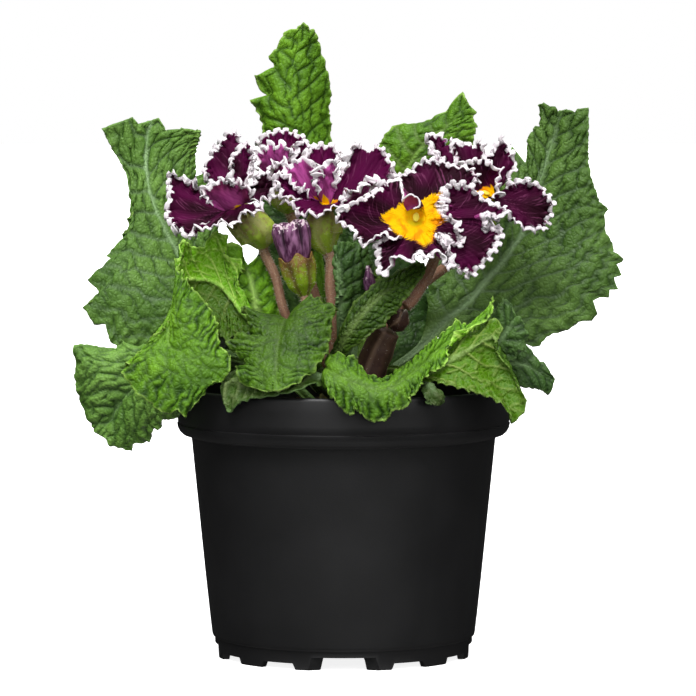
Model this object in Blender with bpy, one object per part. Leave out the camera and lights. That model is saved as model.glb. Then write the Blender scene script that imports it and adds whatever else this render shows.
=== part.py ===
"""A potted primrose: frilled blooms over a rosette of puckered leaves, in a black nursery pot.

Lengths are in millimetres until a mesh is made. X is to the right, Y to the back and Z up.
The origin is the middle of the ring of feet that the pot stands on.
"""

import math

import bmesh
import bpy
from mathutils import Vector

MM = 0.001
GAP = 0.3

# Pot: a 105 mm nursery pot, thin walled, with a stepped rim and twelve feet.
POT_SIDES = 36
RIM_RADIUS = 52.5
RIM_TOP = 84.8
RIM_EDGE = 73.2
RIM_FOOT = 69.4
BODY_TOP_RADIUS = 47.9
BODY_FOOT_RADIUS = 41.4
STEP_TOP = 6.6
BAND_RADIUS = 40.6
BAND_TOP = 5.8
WALL = 1.3
FOOT_HEIGHT = 4.1
FOOT_COUNT = 12
FOOT_ANGLE = math.radians(14)
NOTCH_LOW = 2.0
BASE_THICKNESS = 1.6
DRAIN_COUNT = 6
DRAIN_RADIUS = 3.2
DRAIN_CIRCLE = 26.0

# Soil and the short rootstocks that carry the leaves and stalks.
SOIL_SIDES = 32
SOIL_EDGE = 75.5
SOIL_MIDDLE = 79.0
CROWN_RADIUS = 7.7
CROWN_TOP = 86.0
CROWN_FOOT = 70.0
SIDE_CROWN = (6.5, -21.0)
SIDE_CROWN_RADIUS = 4.8

# Blades of the leaves and petals.
LEAF_THICKNESS = 0.7
LEAF_RIB = 0.7
ROW_LENGTH = 7.5
FEWEST_ROWS = 5
HALF_CELLS = 2
TOOTH = 1.7
LEAF_WAVE = 0.9
STALK_HALF = 1.5
PETAL_THICKNESS = 0.65
PETAL_ROWS = 3
PETAL_CELLS = 7
PETAL_RUFFLE = 1.1

# The point that the leaves and blooms were laid out from: what is nearer to it looks higher and wider apart.
EYE_DISTANCE = 1318.0
EYE_HEIGHT = 186.7


def seen(across, up, depth):
    """The point at this depth that looks from the eye as if it were at (across, up) over the pot's axis."""
    nearer = 1 + depth / EYE_DISTANCE
    return Vector((across * nearer, depth, EYE_HEIGHT + (up - EYE_HEIGHT) * nearer))


def smooth_between(points, t):
    """A point on the smooth curve through the points, with t from 0 to 1."""
    last = len(points) - 1
    place = min(max(t, 0.0), 1.0) * last
    i = min(int(place), last - 1)
    f = place - i
    b, c = points[i], points[i + 1]
    a = points[i - 1] if i > 0 else b * 2 - c
    d = points[i + 2] if i + 2 <= last else c * 2 - b
    bend = a * 2 - b * 5 + c * 4 - d
    twist = b * 3 - a - c * 3 + d
    return 0.5 * (b * 2 + (c - a) * f + bend * f**2 + twist * f**3)


def even_places(points, count):
    """Places from 0 to 1 that step evenly along the curve through the points."""
    fine = 60
    lengths = [0.0]
    before = points[0]
    for k in range(1, fine + 1):
        here = smooth_between(points, k / fine)
        lengths.append(lengths[-1] + (here - before).length)
        before = here
    places = []
    k = 0
    for n in range(count + 1):
        wanted = lengths[-1] * n / count
        while k < fine - 1 and lengths[k + 1] < wanted:
            k += 1
        share = (wanted - lengths[k]) / max(lengths[k + 1] - lengths[k], 1e-9)
        places.append((k + min(share, 1.0)) / fine)
    return places


def material(name, colour, roughness):
    made = bpy.data.materials.get(name)
    if made is None:
        made = bpy.data.materials.new(name)
        made.use_nodes = True
        shader = made.node_tree.nodes["Principled BSDF"]
        shader.inputs["Base Color"].default_value = (*colour, 1.0)
        shader.inputs["Roughness"].default_value = roughness
        shader.inputs["Metallic"].default_value = 0.0
        made.diffuse_color = (*colour, 1.0)
    return made


def object_from(name, work, look, smooth=True):
    """Turns a bmesh in millimetres into a named object in metres."""
    bmesh.ops.recalc_face_normals(work, faces=work.faces)
    bmesh.ops.scale(work, vec=(MM, MM, MM), verts=work.verts)
    mesh = bpy.data.meshes.new(name)
    work.to_mesh(mesh)
    work.free()
    mesh.materials.append(look)
    if smooth:
        mesh.shade_smooth()
        mesh.set_sharp_from_angle(angle=math.radians(50))
    made = bpy.data.objects.new(name, mesh)
    bpy.context.scene.collection.objects.link(made)
    return made


def combined(name, base, others, operation, solver="EXACT"):
    """Joins the others to the base, or cuts them from it, and removes them."""
    helpers = bpy.data.collections.new(name + "_helpers")
    bpy.context.scene.collection.children.link(helpers)
    for other in others:
        bpy.context.scene.collection.objects.unlink(other)
        helpers.objects.link(other)
    step = base.modifiers.new("combine", "BOOLEAN")
    step.operation = operation
    step.operand_type = "COLLECTION"
    step.collection = helpers
    step.solver = solver
    bpy.context.view_layer.update()
    graph = bpy.context.evaluated_depsgraph_get()
    mesh = bpy.data.meshes.new_from_object(base.evaluated_get(graph))
    base.modifiers.clear()
    base.data = mesh
    for other in list(helpers.objects):
        bpy.data.objects.remove(other, do_unlink=True)
    bpy.data.collections.remove(helpers)
    return base


def keep_one_body(made):
    """Drops loose scraps and fills sealed pockets, by keeping only the surface with the most faces."""
    work = bmesh.new()
    work.from_mesh(made.data)
    left = set(work.faces)
    bodies = []
    while left:
        body = [left.pop()]
        for face in body:
            for edge in face.edges:
                for other in edge.link_faces:
                    if other in left:
                        left.remove(other)
                        body.append(other)
        bodies.append(body)
    bodies.sort(key=len)
    for body in bodies[:-1]:
        bmesh.ops.delete(work, geom=body, context="FACES")
    work.to_mesh(made.data)
    work.free()


def turned(profile, sides):
    """A closed profile of (radius, height) turned about the Z axis."""
    work = bmesh.new()
    corners = [work.verts.new((radius, 0, height)) for radius, height in profile]
    pairs = zip(corners, corners[1:] + corners[:1])
    edges = [
        work.edges.new(pair)
        for pair in pairs
        if max(abs(pair[0].co.x), abs(pair[1].co.x)) > 1e-6
    ]
    bmesh.ops.spin(
        work,
        geom=corners + edges,
        cent=(0, 0, 0),
        axis=(0, 0, 1),
        angle=2 * math.pi,
        steps=sides,
        use_merge=True,
        use_duplicate=False,
    )
    bmesh.ops.remove_doubles(work, verts=work.verts, dist=0.0001)
    return work


def sheet_solid(rows, thickness, ridge=0.0, ridge_side=-1, teeth=None):
    """A closed blade from a grid of points, split into triangles alike on both faces.

    The ridge thickens the blade along the middle of each row, on one side.
    A tooth is a point between two rows on the left or right edge, kept by (row, column).
    """
    teeth = teeth or {}
    row_count, cell_count = len(rows), len(rows[0])
    normals = []
    for i in range(row_count):
        line = []
        for j in range(cell_count):
            along = rows[min(i + 1, row_count - 1)][j] - rows[max(i - 1, 0)][j]
            across = rows[i][min(j + 1, cell_count - 1)] - rows[i][max(j - 1, 0)]
            line.append(across.cross(along).normalized())
        normals.append(line)
    work = bmesh.new()
    faces = {}
    for side in (1, -1):
        for i in range(row_count):
            for j in range(cell_count):
                push = thickness / 2
                if j == cell_count // 2 and side == ridge_side:
                    push += ridge
                faces[side, i, j] = work.verts.new(rows[i][j] + normals[i][j] * (push * side))
        for (i, j), point in teeth.items():
            normal = (normals[i][j] + normals[i + 1][j]).normalized()
            faces[side, i + 0.5, j] = work.verts.new(point + normal * (thickness / 2 * side))
    last = cell_count - 1
    for i in range(row_count - 1):
        for j in range(last):
            a, b, c, d = (i, j), (i, j + 1), (i + 1, j + 1), (i + 1, j)
            tooth = (i + 0.5, j if j == 0 else j + 1)
            if j == 0 and (i, 0) in teeth:
                parts = ((a, b, tooth), (tooth, b, c), (tooth, c, d))
            elif j == last - 1 and (i, last) in teeth:
                parts = ((a, b, tooth), (a, tooth, d), (tooth, c, d))
            elif (i + j) % 2:
                parts = ((a, b, c), (a, c, d))
            else:
                parts = ((a, b, d), (b, c, d))
            for part in parts:
                work.faces.new([faces[1, *corner] for corner in part])
                work.faces.new([faces[-1, *corner] for corner in reversed(part)])
    left, right = [], []
    for i in range(row_count):
        right.append((i, last))
        left.append((i, 0))
        if (i, last) in teeth:
            right.append((i + 0.5, last))
        if (i, 0) in teeth:
            left.append((i + 0.5, 0))
    edge = [(0, j) for j in range(last)] + right
    edge += [(row_count - 1, j) for j in range(last - 1, 0, -1)] + left[:0:-1]
    for a, b in zip(edge, edge[1:] + edge[:1]):
        top_a, top_b, low_a, low_b = faces[1, *a], faces[1, *b], faces[-1, *a], faces[-1, *b]
        work.faces.new((top_b, top_a, low_a))
        work.faces.new((top_b, low_a, low_b))
    return work


# Each leaf is a row of ribs from its base to its tip. A rib is its left edge, midrib and right edge,
# each as (across, up, depth) where it is seen. The stalk is the line of the midrib from the crown.
# "face" is +1 where the upper surface is on the side of across x along, and -1 on the other side.
# "puff" is how far the halves bulge between the midrib and the edges, as a share of their width.
LEAVES = {
    "leaf_left_tall": {
        "face": 1,
        "puff": 0.10,
        "colour": (0.07, 0.18, 0.045),
        "stalk": [(-7.6, 84.0, 3.6), (-15, 92, 7), (-25, 101.5, 11)],
        "ribs": [
            ((-37, 104, 12), (-34, 109, 14), (-31, 113, 16)),
            ((-61, 98, 9), (-43, 118, 18), (-34, 127, 22)),
            ((-74, 99, 9), (-50, 125, 20), (-38, 137, 25)),
            ((-81.5, 109.5, 11), (-54.5, 131, 21), (-40, 144, 27)),
            ((-79, 119, 15), (-57.5, 137, 22), (-42, 150, 28)),
            ((-69.5, 131, 19), (-60.5, 144, 23), (-44, 156, 29)),
            ((-68, 143, 22), (-62, 152, 25), (-45.5, 160, 29)),
            ((-70, 154, 25), (-62, 159, 27), (-46, 163, 29)),
            ((-75, 165, 27), (-60.5, 168, 28), (-45.5, 165, 29)),
        ],
    },
    "leaf_left_low": {
        "face": 1,
        "puff": 0.14,
        "colour": (0.035, 0.11, 0.035),
        "stalk": [(-8.4, 79.9, -2.4), (-18, 88, -4), (-32, 94, -5)],
        "ribs": [
            ((-45, 92.5, -12), (-44, 95, -7), (-45, 97.5, -2)),
            ((-50.5, 81.5, -26), (-55, 91.5, -8), (-58, 98, 0)),
            ((-55, 73.5, -15), (-63, 86.5, -3), (-72, 97, 3)),
            ((-60, 69, -9), (-69, 80.5, 0), (-84, 96.5, 4)),
            ((-66, 65, -4), (-73, 74.5, 1), (-84, 85, 4)),
            ((-73, 65.5, -1), (-76.5, 70, 1), (-80, 75, 3)),
        ],
    },
    "leaf_left_front": {
        "face": -1,
        "puff": 0.05,
        "colour": (0.12, 0.30, 0.045),
        "stalk": [(-7.0, 83.0, -4.9), (-13, 90, -10.5), (-21, 98, -15), (-27, 102.5, -17.5)],
        "ribs": [
            ((-31, 101, -19), (-31.2, 107, -18), (-31, 113.5, -16)),
            ((-35, 100.5, -19), (-35, 112, -15), (-35.5, 125, -13.5)),
            ((-39.5, 101, -19), (-40.5, 117, -14), (-39.5, 133, -14.5)),
            ((-44, 103, -21), (-46, 118, -15), (-46.5, 128.5, -16.5)),
            ((-49.5, 103.5, -26), (-51.3, 117, -21), (-50.5, 130, -20.5)),
            ((-57, 101, -33), (-53, 111, -28.5), (-51.8, 121, -25)),
            ((-69.5, 89.5, -37), (-55, 98, -35.5), (-48.5, 116.5, -30)),
            ((-61, 79, -41.5), (-50, 95, -39.5), (-42, 109, -33.5)),
            ((-50.5, 75, -43.5), (-45, 91, -41.5), (-39.8, 100.5, -36.5)),
            ((-42.5, 84, -42), (-39, 89, -41.3), (-35.8, 94, -39)),
        ],
    },
    "leaf_left_inner": {
        "face": 1,
        "puff": 0.08,
        "colour": (0.03, 0.12, 0.05),
        "stalk": [(-8.3, 84.5, -1.0), (-17, 97, -3)],
        "ribs": [
            ((-29, 106, -5), (-26, 106, -5), (-20, 104.5, -4)),
            ((-35, 115, -7), (-28.5, 115, -6), (-20.8, 115, -4)),
            ((-36.5, 121, -7.5), (-30, 120.5, -5.5), (-22.6, 119.5, -3.2)),
            ((-36, 127.5, -7), (-31, 125.2, -4.5), (-25.6, 125.6, -2.2)),
        ],
    },
    "leaf_front_left": {
        "face": -1,
        "puff": 0.06,
        "colour": (0.085, 0.24, 0.045),
        "stalk": [(-4.2, 84.0, -7.4), (-9, 92, -14), (-14, 100, -21)],
        "ribs": [
            ((-21, 104, -24), (-17, 104.5, -25.5), (-13, 105.5, -23)),
            ((-28, 108, -28), (-18, 106.5, -31), (-9.5, 113, -27)),
            ((-32, 106, -33), (-19.5, 103, -39), (-2.5, 108.5, -33)),
            ((-33, 99, -38), (-20.5, 97, -45), (-3.5, 102, -41)),
            ((-34.6, 92, -43.5), (-21, 91, -51), (-8, 93, -49)),
            ((-31.5, 86.3, -49), (-21, 86.5, -54.3), (-13, 87.8, -54)),
            ((-25, 84, -54.5), (-21, 84.2, -56.3), (-17, 85.5, -56.3)),
        ],
    },
    "leaf_under_front": {
        "face": 1,
        "puff": 0.02,
        "colour": (0.045, 0.10, 0.025),
        "stalk": [(-3.5, 80.0, -7.9), (-8.5, 85.5, -21), (-7.5, 88.5, -33)],
        "ribs": [
            ((-8, 88.5, -41), (-7.5, 86.6, -46), (-7, 84.6, -50.5)),
            ((-12, 90, -39), (-11.5, 88, -46), (-11, 85.4, -51.5)),
            ((-18, 90, -38), (-18, 87.8, -46.5), (-18, 83.2, -54.8)),
            ((-26, 90, -36), (-27, 86.7, -44.3), (-28, 81, -49.8)),
            ((-33, 89.5, -35), (-34.5, 86.0, -41.5), (-34, 78.7, -45.2)),
            ((-38.5, 87.8, -34.5), (-38.8, 84, -40.3), (-36.8, 77, -43.3)),
        ],
    },
    "leaf_young_arching": {
        "face": 1,
        "puff": 0.10,
        "colour": (0.09, 0.27, 0.04),
        "stalk": [(-1.5, 84.5, -8.2), (-3.5, 89, -17)],
        "ribs": [
            ((-5.2, 93, -26), (-3.8, 92, -27), (-2.4, 91.5, -28)),
            ((-1, 102, -29), (0.3, 99.5, -32), (4.5, 98, -33)),
            ((2.5, 109, -30), (5, 106.5, -33), (10.5, 103, -34)),
            ((8.5, 115.5, -29), (10, 112, -31.5), (15.5, 107, -33)),
            ((15.5, 120, -26.5), (16, 115.8, -28.5), (19.3, 112, -31)),
            ((21, 122.5, -23), (21.5, 119.3, -24.5), (23, 117, -27)),
            ((25.5, 123.5, -20.5), (25.8, 122.5, -20.5), (26, 121.3, -21)),
        ],
    },
    "leaf_young_crinkled": {
        "face": 1,
        "puff": 0.12,
        "colour": (0.03, 0.10, 0.03),
        "stalk": [(-0.2, 86.6, -4.9), (-0.6, 97, -13)],
        "ribs": [
            ((-2.4, 107, -17), (-1.2, 107, -17.5), (1.5, 107, -17)),
            ((-2.6, 113, -17.5), (-1.4, 113, -18.5), (6.2, 113, -15.5)),
            ((-2.8, 119, -17.5), (-1.6, 119, -18.5), (8.4, 119.5, -14.5)),
            ((-3.0, 125, -17), (-1.9, 125, -18), (7.5, 126, -14.5)),
            ((-2.8, 129, -16.5), (-1.9, 129, -17), (4.0, 130, -15)),
        ],
    },
    "leaf_front_right": {
        "face": 1,
        "puff": 0.10,
        "colour": (0.12, 0.29, 0.055),
        "stalk": [(1.3, 80.0, -8.6), (-0.5, 87.5, -24), (-3.2, 92.5, -36)],
        "ribs": [
            ((-4.5, 94.5, -42), (-5.5, 90.5, -47), (-5.8, 83.2, -54.8)),
            ((0, 94.5, -44), (-1.5, 88, -52.5), (-3, 79, -56)),
            ((4.5, 91.5, -45.5), (3, 85.8, -54.4), (2.2, 75.8, -57.3)),
            ((9.5, 87.8, -47.5), (9, 83.5, -55.2), (9, 73.8, -57.6)),
            ((14.5, 87.8, -46.5), (14.5, 83.8, -54.6), (15, 76.3, -57)),
            ((18.5, 91.5, -44), (18.5, 86.5, -52), (20.5, 79.3, -55.5)),
            ((23.5, 95.5, -40), (24, 90.5, -46.5), (25.5, 84.8, -51)),
            ((28.5, 99.5, -36.5), (28, 94.8, -41.5), (29, 88.5, -46)),
            ((34, 104, -33), (33, 99, -37), (33, 94.5, -41)),
            ((40.5, 105, -30), (39.5, 102.3, -32.5), (39, 100, -35)),
            ((47, 112, -26.5), (46.8, 110.3, -27.5), (47, 108.5, -29)),
        ],
    },
    "leaf_right_front": {
        "face": -1,
        "puff": 0.06,
        "colour": (0.085, 0.19, 0.02),
        "stalk": [(5.8, 84.0, -6.2), (14.5, 89.5, -12), (20, 88.6, -27)],
        "ribs": [
            ((22, 88.8, -36), (23, 87.3, -37.5), (24, 85.9, -39)),
            ((26.5, 93, -35), (29, 89.3, -40), (31, 86.0, -43)),
            ((31.5, 98, -32), (35, 92.8, -39.5), (40, 83.8, -46)),
            ((37, 102, -29.5), (40, 96.2, -39), (47, 80, -45.5)),
            ((42.5, 103.5, -27), (44, 99, -37), (53.5, 73.5, -42)),
            ((47, 105, -29.5), (47, 99.8, -37), (57.5, 79, -41)),
            ((49.5, 103.8, -34), (48.6, 99.5, -37.5), (54, 88, -40)),
            ((50, 101, -36.5), (49.2, 98.5, -37.5), (50.5, 94, -39)),
        ],
    },
    "leaf_right_inner": {
        "face": 1,
        "puff": 0.10,
        "colour": (0.05, 0.16, 0.065),
        "stalk": [(7.2, 83.6, -3.5), (22, 92, -12), (34, 94, -18)],
        "ribs": [
            ((43, 98, -20), (43.5, 95.5, -21), (44.5, 93.5, -22)),
            ((46.5, 105, -22), (49, 99, -24), (52, 92.5, -26)),
            ((49, 110, -22.5), (52, 103, -24.5), (56.5, 97, -26)),
            ((51.5, 111.5, -23), (54.5, 106.8, -24), (58, 102.5, -25)),
        ],
    },
    "leaf_right_low": {
        "face": 1,
        "puff": 0.12,
        "colour": (0.03, 0.085, 0.02),
        "stalk": [(8.2, 79.9, -3.0), (24, 89.5, -11), (38, 90.5, -15)],
        "ribs": [
            ((47, 94.5, -13.5), (47, 91, -15), (48, 88, -16.5)),
            ((54, 98, -13), (54.5, 91.5, -16), (54.5, 85.8, -18.5)),
            ((59.5, 95.5, -14), (60, 89.5, -16), (60.5, 83.6, -18)),
            ((65.5, 89.5, -15.5), (66, 86, -16), (65, 82, -16.5)),
        ],
    },
    "leaf_rim_right": {
        "face": 1,
        "puff": 0.05,
        "colour": (0.03, 0.08, 0.02),
        "stalk": [(6.7, 79.7, -5.6), (15.8, 83.2, -17), (21.5, 83.6, -34)],
        "ribs": [
            ((24.2, 83.8, -44), (25.7, 83.6, -43.2), (27.2, 83.5, -42.4)),
            ((25.2, 81.8, -49.2), (28.3, 82.0, -48.3), (31.4, 81.8, -46.3)),
            ((26.4, 78.6, -49.6), (29.0, 78.3, -48.8), (31.2, 79, -47.3)),
        ],
    },
    "leaf_right_tall": {
        "face": 1,
        "puff": 0.10,
        "colour": (0.065, 0.18, 0.035),
        "stalk": [(8.0, 84.0, 2.9), (16, 90.5, 6), (25, 98, 9)],
        "ribs": [
            ((26.5, 109, 14), (33, 106, 12), (36, 102.5, 10)),
            ((27.5, 119, 18.5), (40, 112, 15), (59, 98, 9)),
            ((32.5, 130, 22.5), (46, 119, 18), (72, 103.5, 10)),
            ((41, 140, 26), (51, 125, 20), (83.4, 113.5, 12)),
            ((45, 148, 28), (55, 131, 22), (86.2, 123, 15)),
            ((49, 155, 29), (58, 138, 23.5), (83, 134, 18)),
            ((54, 159, 29), (60.5, 146, 25), (80, 143, 20)),
            ((57.5, 162, 29), (63.5, 155, 26.5), (77.3, 153, 22)),
            ((59.5, 167, 29), (66, 164, 27), (77, 163, 24)),
            ((61, 173.3, 28.5), (68.5, 171.5, 27.5), (76.5, 172, 26)),
        ],
    },
    "leaf_top": {
        "face": 1,
        "puff": 0.10,
        "colour": (0.055, 0.19, 0.03),
        "stalk": [(-1.5, 84.0, 8.4), (-5, 105, 18), (-8, 127, 23)],
        "ribs": [
            ((-13, 145, 29), (-8, 145, 26), (-3, 145, 30)),
            ((-22.5, 156, 29), (-12, 157, 25.5), (-3.2, 157, 33)),
            ((-25.5, 166, 30), (-14.5, 166, 25), (-4, 166, 34)),
            ((-26.5, 174, 30), (-16, 175, 25), (-4.4, 174, 34)),
            ((-25.5, 182.5, 30), (-15.8, 183, 25.5), (-5.4, 182, 33.5)),
            ((-21.5, 190, 29.5), (-14.5, 190.5, 27), (-7.2, 190, 32)),
            ((-16.5, 196.3, 29), (-12.8, 197, 28.5), (-9.5, 196.3, 30)),
        ],
    },
    "leaf_upper_right": {
        "face": 1,
        "puff": 0.10,
        "colour": (0.075, 0.22, 0.03),
        "stalk": [(4.3, 84.0, 7.4), (8, 108, 14), (13, 128, 17)],
        "ribs": [
            ((14, 143, 18.5), (16.5, 142, 18), (19, 141, 18.5)),
            ((12, 154, 19), (19, 152, 17), (29, 150, 18)),
            ((12.5, 162.5, 20), (24, 159.5, 16.5), (38, 157, 19)),
            ((21, 167, 21), (30, 164.5, 17), (41, 163, 19)),
            ((30, 170.5, 21), (35, 168.5, 18), (41.3, 167.5, 19)),
            ((37, 176.5, 20.5), (38.7, 174, 19), (40.6, 171.5, 19)),
        ],
    },
    "leaf_back_middle": {
        "face": 1,
        "puff": 0.10,
        "colour": (0.035, 0.11, 0.03),
        "stalk": [(1.4, 82.6, 8.4), (1.6, 89, 14), (2, 96, 19)],
        "ribs": [
            ((-6, 101, 22), (2, 101, 21.5), (10, 101, 22)),
            ((-17, 106, 24), (2, 108, 22.5), (19, 107, 24)),
            ((-23, 114, 27), (1, 116, 24.5), (26, 114, 26)),
            ((-25, 123, 29.5), (0, 124, 27.5), (25, 122, 27.5)),
            ((-26, 131.5, 31), (-2, 132, 30.5), (16, 130, 29)),
            ((-26.5, 138.5, 33), (-10, 140, 33), (5, 137, 32)),
            ((-24, 145, 34), (-16, 146.5, 34.5), (-8, 144.5, 34)),
        ],
    },
    "leaf_back_left": {
        "face": -1,
        "puff": 0.10,
        "colour": (0.06, 0.17, 0.035),
        "stalk": [(-4.2, 81.3, 7.7), (-9, 87.4, 18)],
        "ribs": [
            ((-8, 92, 27), (-12, 92, 27), (-16, 92, 26)),
            ((-4, 95, 40), (-16, 97.5, 38), (-38, 102, 32)),
            ((-3, 91, 52), (-18, 92.5, 50), (-42, 92, 42)),
            ((-6, 82, 57), (-19, 84, 56.5), (-37, 81, 49)),
            ((-15, 73.5, 57.5), (-20, 73.5, 57), (-25, 73.5, 56)),
        ],
    },
    "leaf_back_right": {
        "face": -1,
        "puff": 0.10,
        "colour": (0.06, 0.17, 0.035),
        "stalk": [(5.6, 81.3, 6.8), (12, 87, 15)],
        "ribs": [
            ((20, 91, 21), (17, 91, 24), (14, 91, 26)),
            ((34, 94, 30), (23, 95.5, 34), (9, 95, 39)),
            ((44, 90, 36), (31, 92, 43), (14, 91, 50)),
            ((47, 80, 40), (36, 83, 47), (22, 81, 54)),
            ((42, 72, 44.5), (39.5, 71.5, 47), (36.5, 72, 49)),
        ],
    },
}


def leaf_ribs(leaf):
    """The leaf's ribs as points, with those of its stalk first, and the number of those."""
    ribs = [[seen(*place) for place in rib] for rib in leaf["ribs"]]
    stalk = [seen(*place) for place in leaf["stalk"]]
    first_across = (ribs[0][2] - ribs[0][0]).normalized()
    for k in range(len(stalk) - 1, -1, -1):
        ahead = (ribs[0][1] - stalk[k]).normalized()
        reach = (first_across - ahead * first_across.dot(ahead)).normalized() * STALK_HALF
        ribs.insert(0, [stalk[k] - reach, stalk[k], stalk[k] + reach])
    return ribs, len(stalk)


def leaf_grid(leaf):
    """Points over a leaf, row by row from the foot of its stalk to its tip, and its teeth."""
    ribs, stalk_count = leaf_ribs(leaf)
    lefts, middles, rights = ([rib[side] for rib in ribs] for side in range(3))
    bounds = [
        [seen(*rib[side]) for rib in leaf["ribs"]] for side in range(3)
    ]
    length = max(sum((b - a).length for a, b in zip(line, line[1:])) for line in bounds)
    blade_rows = max(round(length / ROW_LENGTH), FEWEST_ROWS)
    last_rib = len(ribs) - 1
    places = [k / last_rib for k in range(stalk_count)]
    start = stalk_count / last_rib
    middle_line = bounds[1]
    places += [start + (1 - start) * t for t in even_places(middle_line, blade_rows)]
    grid = []
    for t in places:
        left, middle, right = (smooth_between(line, t) for line in (lefts, middles, rights))
        ahead = smooth_between(middles, t + 0.02) - smooth_between(middles, t - 0.02)
        up = (right - left).cross(ahead).normalized()
        row = []
        for k in range(-HALF_CELLS, HALF_CELLS + 1):
            share = abs(k) / HALF_CELLS
            edge = left if k < 0 else right
            width = (edge - middle).length
            puff = leaf["face"] * leaf["puff"] * width * 4 * share * (1 - share)
            row.append(middle.lerp(edge, share) + up * puff)
        grid.append((row, up))
    teeth = {}
    rows = [row for row, _ in grid]
    last = 2 * HALF_CELLS
    for i in range(stalk_count, len(rows) - 1):
        for j, inner in ((0, 1), (last, last - 1)):
            side = 1.7 if j else 0.0
            edge = rows[i][j].lerp(rows[i + 1][j], 0.5)
            outward = edge - rows[i][inner].lerp(rows[i + 1][inner], 0.5)
            size = min(outward.length / 6, 1.0)
            outward.normalize()
            reach = TOOTH * (0.8 + 0.45 * math.sin(1.9 * i + side))
            wave = LEAF_WAVE * math.sin(2.1 * i + side)
            teeth[i, j] = edge + (outward * reach + grid[i][1] * wave) * size
    for i in range(stalk_count + 1, len(rows)):
        for j, inner in ((0, 1), (last, last - 1)):
            outward = rows[i][j] - rows[i][inner]
            size = min(outward.length / 6, 1.0)
            rows[i][j] = rows[i][j] - outward.normalized() * (0.3 * TOOTH * size)
    return rows, teeth


def make_leaf(name, leaf):
    rows, teeth = leaf_grid(leaf)
    work = sheet_solid(rows, LEAF_THICKNESS, ridge=LEAF_RIB, ridge_side=-leaf["face"], teeth=teeth)
    return object_from(name, work, material(name, leaf["colour"], 0.55))


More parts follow.
